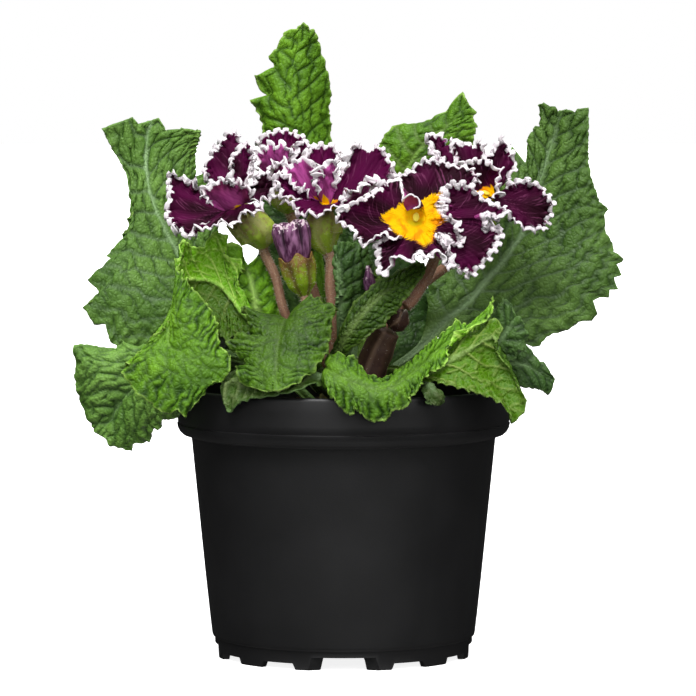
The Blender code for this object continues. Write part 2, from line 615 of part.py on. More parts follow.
# A bloom has a hub, where its petals meet, as (across, up, depth), and the axis that it faces along.
# Each petal is its outline from one side of its root round to the other.
# The calyx runs from its foot up to just below the hub, and the stalk runs from a crown to that foot.
BLOOMS = {
    "bloom_front": {
        "hub": (22.3, 137.2, -28.5),
        "axis": (-0.10, -0.89, 0.45),
        "disc": 7.5,
        "eye": 7.8,
        "petals": [
            [(18.5, 149, -20.5), (11.4, 148.5, -24), (4, 143.8, -29), (-2, 138.6, -33), (2.2, 133, -35.5),
             (5.5, 129, -37), (12, 132, -36), (18, 130.2, -35.5)],
            [(17.8, 147, -23.2), (20, 152, -19.5), (27.2, 155.6, -17), (35, 154.8, -16.5),
             (41.3, 151.8, -17.5),
             (42.5, 147, -20.5)],
            [(30.5, 146.5, -27.5), (34, 149.3, -26.5), (38.5, 149, -26), (43, 146.8, -26.5), (48, 142.2, -28),
             (51.5, 138.3, -30), (46, 135.5, -32.5)],
            [(47, 137.5, -26.5), (50.8, 131.8, -28.5), (48.5, 125.2, -31), (43.3, 120.7, -33),
             (37.5, 118.4, -34.5),
             (34.2, 122, -35.5)],
            [(9.2, 130.5, -31), (9.2, 124.5, -33.5), (11.5, 119.6, -36.5), (17.6, 122.8, -38.5),
             (24, 124.2, -39.5),
             (30, 124, -39), (33.5, 121.5, -38)],
        ],
        "calyx_foot": (28.0, 126.5, -13),
        "calyx_radius": 5.0,
        "stalk": [(19.6, 109.6, -24.0), (22.2, 112.5, -22.5), (25.9, 118.6, -17.2)],
        "stalk_radius": 1.7,
    },
    "bloom_right": {
        "hub": (44.5, 145.0, -4.0),
        "axis": (0.22, -0.35, 0.90),
        "disc": 5.5,
        "eye": 2.6,
        "petals": [
            [(31.5, 156, 3), (26.5, 160, 5), (26, 164, 7), (31, 163.2, 9), (34.2, 159, 8)],
            [(33, 158.5, 6), (34, 162.5, 9), (39, 161, 10), (44, 161.5, 10), (45.5, 157, 8)],
            [(44.5, 156.5, 3), (47, 160, 6), (50, 162.8, 7), (53.5, 158, 6), (54.6, 152.5, 4)],
            [(52.5, 149.2, -1.5), (57.5, 150.0, -1), (63, 147, -1), (66.3, 141.2, -3), (63.5, 133.5, -6),
             (58.5, 133.5, -9), (52.5, 136.5, -11)],
            [(36.5, 154.5, -3), (41.5, 156.5, -2), (47, 155.2, -4), (49.2, 149.5, -8), (48, 143.5, -13)],
        ],
        "calyx_foot": (43.0, 131.0, 2.5),
        "calyx_radius": 4.8,
        "stalk": [(3.4, 86.9, 1.6), (10, 100, 6), (22, 114, 6), (34, 123.5, 4.5)],
        "stalk_radius": 1.6,
    },
    "bloom_left": {
        "hub": (-34.0, 141.3, -8.5),
        "axis": (-0.38, -0.30, 0.87),
        "disc": 5.5,
        "eye": 3.7,
        "petals": [
            [(-42.8, 147.5, 2), (-44.3, 153, 6), (-41.5, 158.5, 9), (-37.5, 164, 11), (-33, 164.3, 12),
             (-30.5, 158.8, 10)],
            [(-36.3, 150, -1.5), (-35.8, 155.5, 1.5), (-33, 160, 4.5), (-29, 161.5, 7.5), (-27.8, 156.5, 6),
             (-28.8, 150, 1)],
            [(-45, 143.8, -15), (-44, 147, -15.5), (-39.9, 149.4, -15.5), (-35.7, 149.9, -15),
             (-31.5, 148.3, -14.5),
             (-27.5, 146, -13.5)],
            [(-47.5, 149.5, -5), (-54.5, 152.3, -3), (-55.3, 146, -6), (-56, 139.5, -10), (-54.5, 134.3, -13),
             (-49.5, 132.2, -15)],
            [(-49.5, 131.5, -22), (-46.5, 133.6, -23.5), (-41.5, 134.8, -24), (-36.5, 135.6, -23.5),
             (-30.5, 138.2, -21.5), (-24.2, 141.2, -17)],
            [(-28.5, 146, -9), (-28, 150.8, -7.5), (-24, 152.3, -6.5), (-20.8, 148.6, -7.5),
             (-21.5, 144, -10),
             (-25.5, 142.6, -12)],
        ],
        "calyx_foot": (-25.3, 128.1, -5.5),
        "calyx_radius": 6.1,
        "belly": 2.0,
        "neck": 3.4,
        "stalk": [(-4.2, 86.4, -0.8), (-11, 95, -4.5), (-18.3, 107.3, -9), (-21.2, 118.5, -7.5)],
        "stalk_radius": 1.5,
    },
    "bloom_middle": {
        "hub": (-4.8, 142.2, -6.5),
        "axis": (0.22, -0.12, 0.97),
        "disc": 5.0,
        "eye": 3.5,
        "petals": [
            [(-20.3, 152.5, -9), (-18, 154.6, -9.5), (-13, 156.6, -10), (-9.3, 155, -11), (-8.2, 149, -12)],
            [(-8.8, 147.5, -14.5), (-8.6, 150.5, -14.5), (-5, 155.5, -13.5), (-2.2, 156.2, -13),
             (-1.6, 150, -13)],
            [(-19.5, 143.4, -12), (-16.2, 141.2, -14.5), (-13.2, 138.6, -16.5), (-7, 138.6, -18),
             (-1.5, 141.5, -18),
             (1.5, 144.8, -16)],
            [(-13, 157.6, 2), (-9.5, 160.6, 3.5), (-4, 160.8, 4), (0, 158, 3)],
            [(0.5, 156.5, -0.5), (3.5, 161.3, 1), (8, 159.8, 1.5), (12.2, 160, 1), (16.6, 152.5, -2),
             (13, 147.5, -6)],
            [(12.5, 149.8, -9.5), (8.5, 149.8, -12), (4.5, 146.3, -14), (1.5, 146.5, -14.5)],
        ],
        "calyx_foot": (-4.6, 126.2, -7.5),
        "calyx_radius": 5.7,
        "belly": -1.4,
        "neck": 3.0,
        "stalk": [(0.2, 86.6, -1.9), (-2.6, 104, -8.8), (-4.0, 115, -9)],
        "stalk_radius": 1.8,
    },
    "bloom_back": {
        "hub": (-19.3, 150.5, 9.5),
        "axis": (0.05, -0.22, 0.97),
        "disc": 4.6,
        "eye": 3.1,
        "petals": [
            [(-27.5, 162.2, 14), (-23, 164.9, 16.5), (-17.5, 165.4, 18), (-12.5, 163.5, 17),
             (-10.6, 160, 15)],
            [(-28.8, 156.3, 0.8), (-26.3, 159.6, 0.8), (-21.4, 161.4, 1), (-17.2, 160.3, 1.5),
             (-15.4, 157.6, 1.5)],
            [(-15.6, 160.6, 8), (-12.6, 161.9, 9), (-8.2, 160, 9.5), (-7.4, 156.5, 8.5), (-10.5, 153.5, 6)],
            [(-24.5, 150.5, 4), (-23, 154.6, 0), (-18.5, 155.6, -2.5), (-15.8, 153.6, -1.5)],
        ],
        "calyx_foot": (-16.8, 139.0, 11.5),
        "calyx_radius": 4.4,
        "stalk": [(-1.6, 86.8, 2.2), (-6.5, 105, 7.5), (-12.5, 125, 11)],
        "stalk_radius": 1.5,
    },
}

BUD = {
    "foot": (-12.3, 112.9, -17.0),
    "top": (-15.0, 125.2, -15.5),
    "tip": (-17.0, 136.2, -15.5),
    "calyx_radius": 5.6,
    "stalk": [(-2.9, 86.7, -4.6), (-7.5, 95, -12), (-12.0, 105.5, -16)],
    "stalk_radius": 1.4,
}

PEDUNCLE = [
    (6.6, 69.2, -21.0),
    (6.6, 79.0, -21.0),
    (8.0, 88.0, -21.0),
    (11.0, 96.5, -21.8),
    (13.8, 102.0, -23.0),
]
PEDUNCLE_RADII = [3.9, 4.6, 5.0, 4.6, 3.8]
BRACTS = (17.0, 105.4, -24.0)
BRACTS_RADIUS = 3.3
SMALL_BUD = [(11.5, 104.5, -14.0), (9.6, 112.0, -16.0), (8.2, 117.0, -18.0), (7.6, 122.5, -19.0)]

POT_BLACK = (0.012, 0.012, 0.013)
SOIL_BROWN = (0.035, 0.022, 0.014)
PETAL_DARK = (0.055, 0.004, 0.030)
EYE_YELLOW = (0.90, 0.55, 0.01)
CALYX_GREEN = (0.14, 0.20, 0.035)
BUD_GREEN = (0.26, 0.40, 0.03)
BUD_PURPLE = (0.16, 0.03, 0.14)
STALK_BROWN = (0.22, 0.10, 0.075)
PEDUNCLE_BROWN = (0.055, 0.025, 0.018)


def frame_across(axis):
    """Two directions square to the axis."""
    side = axis.cross(Vector((0, 0, 1)))
    side = side.normalized() if side.length > 0.05 else Vector((1, 0, 0))
    return side, side.cross(axis).normalized()


def solid_round(centre_line, radii, sides, ribs=0, rib_depth=0.0, tooth=0.0):
    """A closed tube along the centre line, with ribs along it and, if wanted, a toothed last ring."""
    work = bmesh.new()
    rings = []
    last = len(radii) - 1
    side = None
    for k, radius in enumerate(radii):
        t = k / last
        centre = smooth_between(centre_line, t)
        ahead = smooth_between(centre_line, t + 0.02) - smooth_between(centre_line, t - 0.02)
        ahead.normalize()
        if side is None:
            side = frame_across(ahead)[0]
        side = (side - ahead * side.dot(ahead)).normalized()
        other = ahead.cross(side)
        ring = []
        for n in range(sides):
            angle = 2 * math.pi * n / sides
            swell = 1 + rib_depth * math.cos(ribs * angle) if ribs else 1
            out = side * math.cos(angle) + other * math.sin(angle)
            place = centre + out * (radius * swell)
            if tooth and k == last:
                place += ahead * (tooth * math.cos(ribs * angle))
            ring.append(work.verts.new(place))
        rings.append(ring)
    for low, high in zip(rings, rings[1:]):
        for n in range(sides):
            m = (n + 1) % sides
            work.faces.new((low[n], low[m], high[m]))
            work.faces.new((low[n], high[m], high[n]))
    for ring, t in ((rings[0], 0), (rings[-1], 1)):
        middle = work.verts.new(smooth_between(centre_line, t))
        for n in range(sides):
            work.faces.new((ring[n], ring[(n + 1) % sides], middle))
    return work


def petal_rows(bloom, outline, rows, cells, lift):
    """Points over a petal, row by row from its root in the hub to its frilled edge."""
    hub = seen(*bloom["hub"])
    axis = Vector(bloom["axis"]).normalized()
    places = [seen(*place) for place in outline]
    grid = []
    spots = even_places(places, cells)
    for n in range(rows + 1):
        u = n / rows
        row = []
        for m, v in enumerate(spots):
            rim = smooth_between(places, v)
            out = rim - hub
            flat = out - axis * out.dot(axis)
            flat_length = max(flat.length, 1e-6)
            flat = flat / flat_length
            root = hub + flat * (bloom["disc"] * 0.62) + axis * lift
            bend = root + flat * max(flat_length - bloom["disc"], 2.0) * 0.45
            point = root * (1 - u) ** 2 + bend * (2 * u * (1 - u)) + rim * u**2
            row.append(point)
        grid.append(row)
    for m in range(cells + 1):
        before, after = grid[rows][max(m - 1, 0)], grid[rows][min(m + 1, cells)]
        out = (grid[rows][m] - grid[rows - 1][m]).normalized()
        up = (after - before).cross(out).normalized()
        swing = 1 if m % 2 else -1
        grid[rows][m] += up * (PETAL_RUFFLE * swing)
        grid[rows - 1][m] += up * (0.35 * PETAL_RUFFLE * swing)
    return grid


def stalk_end(foot, swell):
    """The last two points of a stalk, which ends square to its calyx and just below it."""
    lead = (swell - foot).normalized()
    return [foot - lead * 2.2, foot - lead * GAP]


def make_bloom(name, bloom):
    hub = seen(*bloom["hub"])
    axis = Vector(bloom["axis"]).normalized()
    dark = material("petal", PETAL_DARK, 0.6)
    disc_line = [hub - axis * 0.8, hub, hub + axis * 0.8]
    petals = object_from(
        name + "_petals",
        solid_round(disc_line, [bloom["disc"] * share for share in (0.9, 1.0, 0.9)], 15),
        dark,
    )
    blades = []
    for n, outline in enumerate(bloom["petals"]):
        lift = 0.09 * (n - 2) + 0.03
        grid = petal_rows(bloom, outline, PETAL_ROWS, PETAL_CELLS, lift)
        blades.append(object_from(f"{name}_blade", sheet_solid(grid, PETAL_THICKNESS), dark))
    combined(name + "_petals", petals, blades, "UNION", solver="MANIFOLD")
    keep_one_body(petals)
    petals.data.shade_smooth()
    petals.data.set_sharp_from_angle(angle=math.radians(50))

    side, other = frame_across(axis)
    work = bmesh.new()
    low, high = [], []
    for n in range(20):
        angle = 2 * math.pi * n / 20 + 0.3
        reach = bloom["eye"] * (1.0 if n % 4 == 0 else 0.72 if n % 2 else 0.6)
        out = (side * math.cos(angle) + other * math.sin(angle)) * reach
        low.append(work.verts.new(hub + axis * 2.3 + out))
        high.append(work.verts.new(hub + axis * 2.9 + out))
    foot = work.verts.new(hub + axis * 2.3)
    top = work.verts.new(hub + axis * 2.65)
    for n in range(20):
        m = (n + 1) % 20
        work.faces.new((foot, low[m], low[n]))
        work.faces.new((top, high[n], high[m]))
        work.faces.new((low[n], low[m], high[m]))
        work.faces.new((low[n], high[m], high[n]))
    object_from(name + "_eye", work, material("eye", EYE_YELLOW, 0.55))

    foot = seen(*bloom["calyx_foot"])
    neck = hub - axis * bloom.get("neck", 2.4)
    swell = foot.lerp(neck, 0.5) - axis * 0.6 + Vector((bloom.get("belly", 0), 0, 0))
    radius = bloom["calyx_radius"]
    work = solid_round(
        [foot, swell, neck],
        [radius * share for share in (0.28, 0.72, 0.98, 1.0, 0.86)],
        15,
        ribs=5,
        rib_depth=0.09,
        tooth=0.5,
    )
    object_from(name + "_calyx", work, material("calyx", CALYX_GREEN, 0.55))

    path = [seen(*place) for place in bloom["stalk"]] + stalk_end(foot, swell)
    work = solid_round(path, [bloom["stalk_radius"]] * 8, 8)
    object_from(name + "_stalk", work, material("stalk", STALK_BROWN, 0.65))


def make_bud():
    foot, top, tip = seen(*BUD["foot"]), seen(*BUD["top"]), seen(*BUD["tip"])
    radius = BUD["calyx_radius"]
    work = solid_round(
        [foot, foot.lerp(top, 0.5), top],
        [radius * share for share in (0.27, 0.72, 0.88, 0.97, 0.98)],
        20,
        ribs=5,
        rib_depth=0.08,
        tooth=0.9,
    )
    object_from("bud_calyx", work, material("bud_calyx", BUD_GREEN, 0.5))
    axis = (tip - top).normalized()
    work = solid_round(
        [top + axis * 1.3, top.lerp(tip, 0.5), tip],
        [radius * share for share in (0.84, 0.97, 1.03, 1.0, 0.72)],
        20,
        ribs=5,
        rib_depth=0.1,
        tooth=0.8,
    )
    object_from("bud_petals", work, material("bud_petals", BUD_PURPLE, 0.6))
    path = [seen(*place) for place in BUD["stalk"]] + stalk_end(foot, top)
    work = solid_round(path, [BUD["stalk_radius"]] * 7, 8)
    object_from("bud_stalk", work, material("stalk", STALK_BROWN, 0.65))


def make_peduncle():
    path = [seen(*place) for place in PEDUNCLE]
    work = solid_round(path, PEDUNCLE_RADII, 16, ribs=8, rib_depth=0.07)
    brown = material("peduncle", PEDUNCLE_BROWN, 0.6)
    object_from("peduncle", work, brown)
    ball = seen(*BRACTS)
    line = [ball - Vector((2.6, 0, 2.0)), ball, ball + Vector((1.4, -0.6, 3.0))]
    radii = [BRACTS_RADIUS * share for share in (0.55, 1.0, 0.98, 0.5)]
    work = solid_round(line, radii, 12, ribs=4, rib_depth=0.1)
    object_from("bracts", work, brown)
    path = [seen(*place) for place in SMALL_BUD]
    work = solid_round(path, [0.9, 0.8, 0.8, 1.7, 2.1, 1.1], 8)
    object_from("small_bud", work, material("bud_petals", BUD_PURPLE, 0.6))


def make_pot():
    """The pot wall, its rim with a rounded foot, a narrow band at the bottom and a ring of feet."""
    inner_top = RIM_RADIUS - WALL
    profile = [
        (0, FOOT_HEIGHT),
        (BAND_RADIUS - 2.3, FOOT_HEIGHT),
        (BAND_RADIUS - 2.3, 0),
        (BAND_RADIUS, 0),
        (BAND_RADIUS, BAND_TOP),
        (BODY_FOOT_RADIUS, STEP_TOP),
        (43.6, 26.0),
        (BODY_TOP_RADIUS, RIM_FOOT - 0.6),
        (49.2, RIM_FOOT),
        (51.6, RIM_FOOT + 1.7),
        (RIM_RADIUS, RIM_EDGE),
        (RIM_RADIUS, RIM_TOP - 0.5),
        (RIM_RADIUS - 0.5, RIM_TOP),
        (inner_top, RIM_TOP),
        (inner_top - 0.2, RIM_EDGE + 0.5),
        (BODY_TOP_RADIUS - WALL, RIM_FOOT + 1.6),
        (BODY_FOOT_RADIUS - WALL, FOOT_HEIGHT + BASE_THICKNESS),
        (0, FOOT_HEIGHT + BASE_THICKNESS),
    ]
    black = material("pot", POT_BLACK, 0.42)
    pot = object_from("pot", turned(profile[::-1], POT_SIDES), black)
    cutters = []
    pitch = 2 * math.pi / FOOT_COUNT
    for n in range(FOOT_COUNT):
        angle = -math.pi / 2 + n * pitch
        height = FOOT_HEIGHT - 0.05 if n % 3 == 0 else NOTCH_LOW
        half = (pitch - FOOT_ANGLE) / 2
        work = bmesh.new()
        corners = []
        for level in (-1.0, height):
            for radius, turn in ((36.5, -half), (36.5, half), (44.0, half), (44.0, -half)):
                x = radius * math.cos(angle + turn)
                y = radius * math.sin(angle + turn)
                corners.append(work.verts.new((x, y, level)))
        work.faces.new(corners[:4])
        work.faces.new(corners[:3:-1])
        for k in range(4):
            m = (k + 1) % 4
            work.faces.new((corners[k], corners[k + 4], corners[m + 4], corners[m]))
        cutters.append(object_from(f"notch_{n}", work, black))
    for n in range(DRAIN_COUNT):
        angle = 2 * math.pi * (n + 0.5) / DRAIN_COUNT
        work = bmesh.new()
        bmesh.ops.create_cone(
            work, cap_ends=True, segments=12, radius1=DRAIN_RADIUS, radius2=DRAIN_RADIUS, depth=8
        )
        place = (DRAIN_CIRCLE * math.cos(angle), DRAIN_CIRCLE * math.sin(angle), FOOT_HEIGHT + 1)
        bmesh.ops.translate(work, vec=place, verts=work.verts)
        cutters.append(object_from(f"drain_{n}", work, black))
    combined("pot", pot, cutters, "DIFFERENCE")
    pot.data.shade_smooth()
    pot.data.set_sharp_from_angle(angle=math.radians(30))


def make_soil():
    """Soil that fills the pot to just under its rim, with a hole for each rootstock."""
    wall = BODY_TOP_RADIUS - WALL - 3 * GAP
    profile = [
        (0, FOOT_HEIGHT + BASE_THICKNESS + GAP),
        (BODY_FOOT_RADIUS - WALL - 2 * GAP, FOOT_HEIGHT + BASE_THICKNESS + GAP),
        (wall, RIM_FOOT + 1.0),
        (wall + 3.2, RIM_EDGE + 1.0),
        (wall + 3.4, SOIL_EDGE),
        (36.0, SOIL_EDGE + 1.2),
        (22.0, SOIL_MIDDLE - 0.6),
        (0, SOIL_MIDDLE),
    ]
    work = turned(profile, SOIL_SIDES)
    for corner in work.verts:
        if corner.co.z > SOIL_EDGE + 0.5 and math.hypot(corner.co.x, corner.co.y) > 5:
            corner.co.z += 0.6 * math.sin(0.9 * corner.co.x) * math.cos(0.7 * corner.co.y)
    peat = material("soil", SOIL_BROWN, 0.95)
    soil = object_from("soil", work, peat, smooth=False)
    holes = []
    for (x, y), radius in (((0, 0), CROWN_RADIUS + 0.4), (SIDE_CROWN, SIDE_CROWN_RADIUS + 0.4)):
        work = bmesh.new()
        bmesh.ops.create_cone(
            work, cap_ends=True, segments=16, radius1=radius, radius2=radius, depth=24
        )
        bmesh.ops.translate(work, vec=(x, y, CROWN_FOOT - 0.4 + 12), verts=work.verts)
        holes.append(object_from("hole", work, peat))
    combined("soil", soil, holes, "DIFFERENCE")


def make_crown():
    profile = [
        (0, CROWN_FOOT),
        (CROWN_RADIUS - 1.2, CROWN_FOOT),
        (CROWN_RADIUS - 0.4, CROWN_FOOT + 4),
        (CROWN_RADIUS, SOIL_MIDDLE + 2),
        (CROWN_RADIUS - 0.3, CROWN_TOP - 2),
        (CROWN_RADIUS - 2.0, CROWN_TOP - 0.4),
        (0, CROWN_TOP),
    ]
    object_from("crown", turned(profile, 16), material("crown", (0.13, 0.11, 0.04), 0.7))


def clear_scene():
    for thing in list(bpy.data.objects):
        bpy.data.objects.remove(thing, do_unlink=True)


clear_scene()
make_pot()
make_soil()
make_crown()
for leaf_name, leaf_parts in LEAVES.items():
    make_leaf(leaf_name, leaf_parts)
for bloom_name, bloom_parts in BLOOMS.items():
    make_bloom(bloom_name, bloom_parts)
make_bud()
make_peduncle()
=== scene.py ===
# %% [markdown]
# # A potted primrose
# The plant is a rosette of puckered leaves with five frilled blooms over it, in a black nursery pot.
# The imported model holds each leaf, bloom and stalk as a coarse solid. This script gives each of them
# a fine surface in the same place, and the finish of the real tissue, plastic or peat.

import math
from functools import partial
from types import SimpleNamespace

import bpy
import numpy as np
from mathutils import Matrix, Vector


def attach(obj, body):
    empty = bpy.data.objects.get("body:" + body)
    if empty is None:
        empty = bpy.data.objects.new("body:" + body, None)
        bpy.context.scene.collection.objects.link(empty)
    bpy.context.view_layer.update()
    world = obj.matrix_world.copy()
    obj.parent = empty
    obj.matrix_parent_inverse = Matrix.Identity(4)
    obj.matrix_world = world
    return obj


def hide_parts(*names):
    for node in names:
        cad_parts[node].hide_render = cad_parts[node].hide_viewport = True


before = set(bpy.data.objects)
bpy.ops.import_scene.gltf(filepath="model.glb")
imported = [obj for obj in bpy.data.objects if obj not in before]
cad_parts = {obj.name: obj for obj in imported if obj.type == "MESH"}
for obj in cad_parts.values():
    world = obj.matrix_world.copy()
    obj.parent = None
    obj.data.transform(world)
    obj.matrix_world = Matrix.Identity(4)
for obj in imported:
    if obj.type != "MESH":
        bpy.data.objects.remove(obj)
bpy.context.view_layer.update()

# %% [markdown]
# Lengths are in millimetres until a mesh is made, because leaves and petals are measured in them.
# What is drawn from a photograph is seen from one place, so a point is given by where it looks to be
# over the pot's axis, and by its true depth behind the axis. One function gives its real place, and
# another goes back from real places to where they look to be.

# %% Places as they are seen
MM = 0.001
EYE_DISTANCE = 1318.0
EYE_HEIGHT = 186.7


def seen(across, up, depth):
    """The point at this depth that looks as if it were at (across, up) over the pot's axis."""
    nearer = 1 + depth / EYE_DISTANCE
    return (across * nearer, depth, EYE_HEIGHT + (up - EYE_HEIGHT) * nearer)


def all_seen(places):
    return np.array([seen(*place) for place in places])


def seen_from_camera(points):
    """Where points look to be over the pot's axis, across and up."""
    nearer = 1 + points[..., 1:2] / EYE_DISTANCE
    up = EYE_HEIGHT + (points[..., 2:3] - EYE_HEIGHT) / nearer
    return np.concatenate([points[..., 0:1] / nearer, up], axis=-1)


print("50 mm beside the axis, seen 50 mm nearer the camera, is really", seen(50, 0, -50)[0])

# %% [markdown]
# The camera stands where the photograph was taken from: far away with a long lens, a little above
# the leaves, so the pot's rim looks almost flat. A far lamp is a sun in Blender, and its angle is how
# wide it looks: a wide one is a big soft box. A very wide one in front gives the plant its even light
# and the pot the broad dim shine down its middle. A smaller one, high and a little left, gives the
# leaves their relief, and one nearly overhead lights their edges. Two behind keep the back from going
# dark, without gloss, so they draw no streaks on the pot. The last one stands for the lit table: it
# only gleams, on the lower band of the rim, and the floor casts no shadow so that it can.

# %% Camera and lamps
LENS = 217.2
SENSOR = 36.0
NEAREST = 0.05
AIM = Vector((0.0014, 0.0, 0.0966))
EYE = Vector((0.0014, -1.318, 0.1867))

scene = bpy.context.scene
scene.view_settings.view_transform = "Standard"
camera = bpy.data.objects.new("camera", bpy.data.cameras.new("camera"))
camera.data.lens = LENS
camera.data.sensor_width = SENSOR
camera.data.clip_start = NEAREST
camera.location = EYE
camera.rotation_euler = (AIM - EYE).to_track_quat("-Z", "Y").to_euler()
scene.collection.objects.link(camera)
scene.camera = camera


def far_lamp(name, azimuth, elevation, spread, strength, matt=True, gloss=True):
    """A lamp too far away to fade, as wide as spread. Azimuth 0 is the camera's side and 90 the right.

    Without matt it only gleams, and without gloss it only lights."""
    lamp = bpy.data.objects.new(name, bpy.data.lights.new(name, "SUN"))
    lamp.data.angle = math.radians(spread)
    lamp.data.energy = strength
    turn, height = math.radians(azimuth), math.radians(elevation)
    low = math.cos(height)
    towards = Vector((math.sin(turn) * low, -math.cos(turn) * low, math.sin(height)))
    lamp.rotation_euler = towards.to_track_quat("Z", "Y").to_euler()
    lamp.location = towards
    lamp.visible_diffuse = matt
    lamp.visible_glossy = gloss
    scene.collection.objects.link(lamp)


far_lamp("lamp_front", 4, 20, 104, 2.65)
far_lamp("lamp_left", -14, 60, 26, 2.3)
far_lamp("lamp_back", 178, 74, 30, 1.0)
far_lamp("lamp_behind_right", 135, 28, 60, 0.9, gloss=False)
far_lamp("lamp_behind_left", -135, 28, 60, 0.9, gloss=False)
far_lamp("lamp_table", 0, -82, 60, 1.3, matt=False)
print("camera", tuple(EYE), "lens", LENS)

# %% [markdown]
# Three helpers do the work of every finish. One turns a colour's hex code into the linear values that
# the renderer works with. One fills a node's inputs, with a value, a colour or what another node
# gives. The last adds a node, with its settings and inputs.
# Inputs go by name or by number: a Mix takes its share in 0 and the two colours in 6 and 7, and a
# Map Range a value in 0, the range it comes from in 1 and 2, and the one it goes to in 3 and 4.
# Unless it says otherwise, a Mix here mixes colours and a Math node multiplies.

# %% Colours and nodes
USUAL = {"Mix": {"data_type": "RGBA"}, "Math": {"operation": "MULTIPLY"}}


def linear(code):
    shares = [int(code[k : k + 2], 16) / 255 for k in (1, 3, 5)]
    return (*[s / 12.92 if s <= 0.04045 else ((s + 0.055) / 1.055) ** 2.4 for s in shares], 1.0)


def fill(node, inputs):
    """Gives each input a value, a colour, or a link from a socket or from a node's first output in use."""
    for name, value in inputs.items():
        if isinstance(value, bpy.types.Node):
            value = next(output for output in value.outputs if output.enabled)
        if isinstance(value, bpy.types.NodeSocket):
            node.id_data.links.new(value, node.inputs[name])
        else:
            node.inputs[name].default_value = linear(value) if isinstance(value, str) else value


def add_node(tree, kind, inputs=None, **settings):
    node = tree.nodes.new("ShaderNode" + kind)
    for name, value in (USUAL.get(kind, {}) | settings).items():
        setattr(node, name, value)
    fill(node, inputs or {})
    return node


def new_finish(name, **shader_values):
    """An empty material, its own add_node and its shader, with the values that hold all over it."""
    made = bpy.data.materials.new(name)
    made.use_nodes = True
    shader = made.node_tree.nodes["Principled BSDF"]
    for socket, value in shader_values.items():
        shader.inputs[socket.replace("_", " ")].default_value = value
    return made, partial(add_node, made.node_tree), shader


print("mid grey #808080 is", linear("#808080")[0], "of full light")

# %% [markdown]
# The plant stands before white, on a white table that is lit through, as small products are often
# photographed, so the shadows nearly vanish. Only the camera sees that white. As light, table and
# wall give little, and what the pot mirrors is almost black: dark cards stood beside it, out of
# view, because a black pot shows every pale thing beside it along its sides.

# %% White room and table
BACKGROUND = 1.0
AMBIENT = 0.09
MIRRORED = 0.008
TABLE_GLOW = 0.85
TABLE_HALF = 8

world = bpy.data.worlds.new("white studio")
world.use_nodes = True
light_path = add_node(world.node_tree, "LightPath")
is_gloss, looked_at = light_path.outputs["Is Glossy Ray"], light_path.outputs["Is Camera Ray"]
ambient = add_node(world.node_tree, "MapRange", {0: is_gloss, 3: AMBIENT, 4: MIRRORED})
strength = add_node(world.node_tree, "MapRange", {0: looked_at, 3: ambient, 4: BACKGROUND})
fill(world.node_tree.nodes["Background"], {"Color": "#ffffff", "Strength": strength})
scene.world = world


def table_finish():
    # Frosted acrylic over a lamp: it glows evenly, so the eye finds no edge, grain or shadow in it.
    made, add, shader = new_finish("white table lit from below", Roughness=1, Specular_IOR_Level=0)
    looked_at = add("LightPath").outputs["Is Camera Ray"]
    paper = add("Mix", {0: looked_at, 6: "#242424", 7: "#f4f4f4"})
    glow = add("Math", {0: looked_at, 1: TABLE_GLOW})
    fill(shader, {"Base Color": paper, "Emission Color": "#ffffff", "Emission Strength": glow})
    return made


corners = [(x * TABLE_HALF, y * TABLE_HALF, 0) for x, y in ((-1, -1), (1, -1), (1, 1), (-1, 1))]
floor = bpy.data.meshes.new("floor")
floor.from_pydata(corners, [], [(0, 1, 2, 3)])
floor.materials.append(table_finish())
floor = bpy.data.objects.new("floor", floor)
scene.collection.objects.link(floor)
floor.visible_shadow = False
print("the table is", 2 * TABLE_HALF, "m wide")

# %% [markdown]
# A leaf or a petal is a thin blade. It starts as a grid of points, row by row from its foot to its
# tip. Pushing the grid along its normals, up for one face and down for the other, gives a closed
# solid with true thickness, and a strip round the edge joins the two faces. Stalks, buds and the pot
# are rings of points instead, joined ring to ring and closed at both ends. A piece is made of such
# parts, with a few numbers at each point for its finish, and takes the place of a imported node.

# %% Blades, round solids and pieces
def unit(vectors):
    return vectors / np.maximum(np.linalg.norm(vectors, axis=-1, keepdims=True), 1e-9)


def grid_normals(points):
    return unit(np.cross(np.gradient(points, axis=1), np.gradient(points, axis=0)))


def blade(points, over, under, values):
    """A closed blade (points, faces, values): the grid pushed by over on one face, under on the other."""
    normals = grid_normals(points)
    upper = points + normals * over[..., None]
    lower = points - normals * under[..., None]
    rows, cells = points.shape[:2]
    index = np.arange(rows * cells).reshape(rows, cells)
    a, b, c, d = index[:-1, :-1], index[:-1, 1:], index[1:, 1:], index[1:, :-1]
    split = np.stack([a, b, c, a, c, d], axis=-1).reshape(-1, 3)
    edge = np.concatenate([index[0, :-1], index[:-1, -1], index[-1, :0:-1], index[:0:-1, 0]])
    after = np.roll(edge, -1)
    count = rows * cells
    rim = np.stack([edge, edge + count, after + count, edge, after + count, after], axis=-1)
    faces = np.concatenate([split, split[:, ::-1] + count, rim.reshape(-1, 3)])
    both = {name: np.tile(value.reshape(-1), 2) for name, value in values.items()}
    both["underside"] = np.repeat([0.0, 1.0], count)
    return np.concatenate([upper.reshape(-1, 3), lower.reshape(-1, 3)]), faces, both


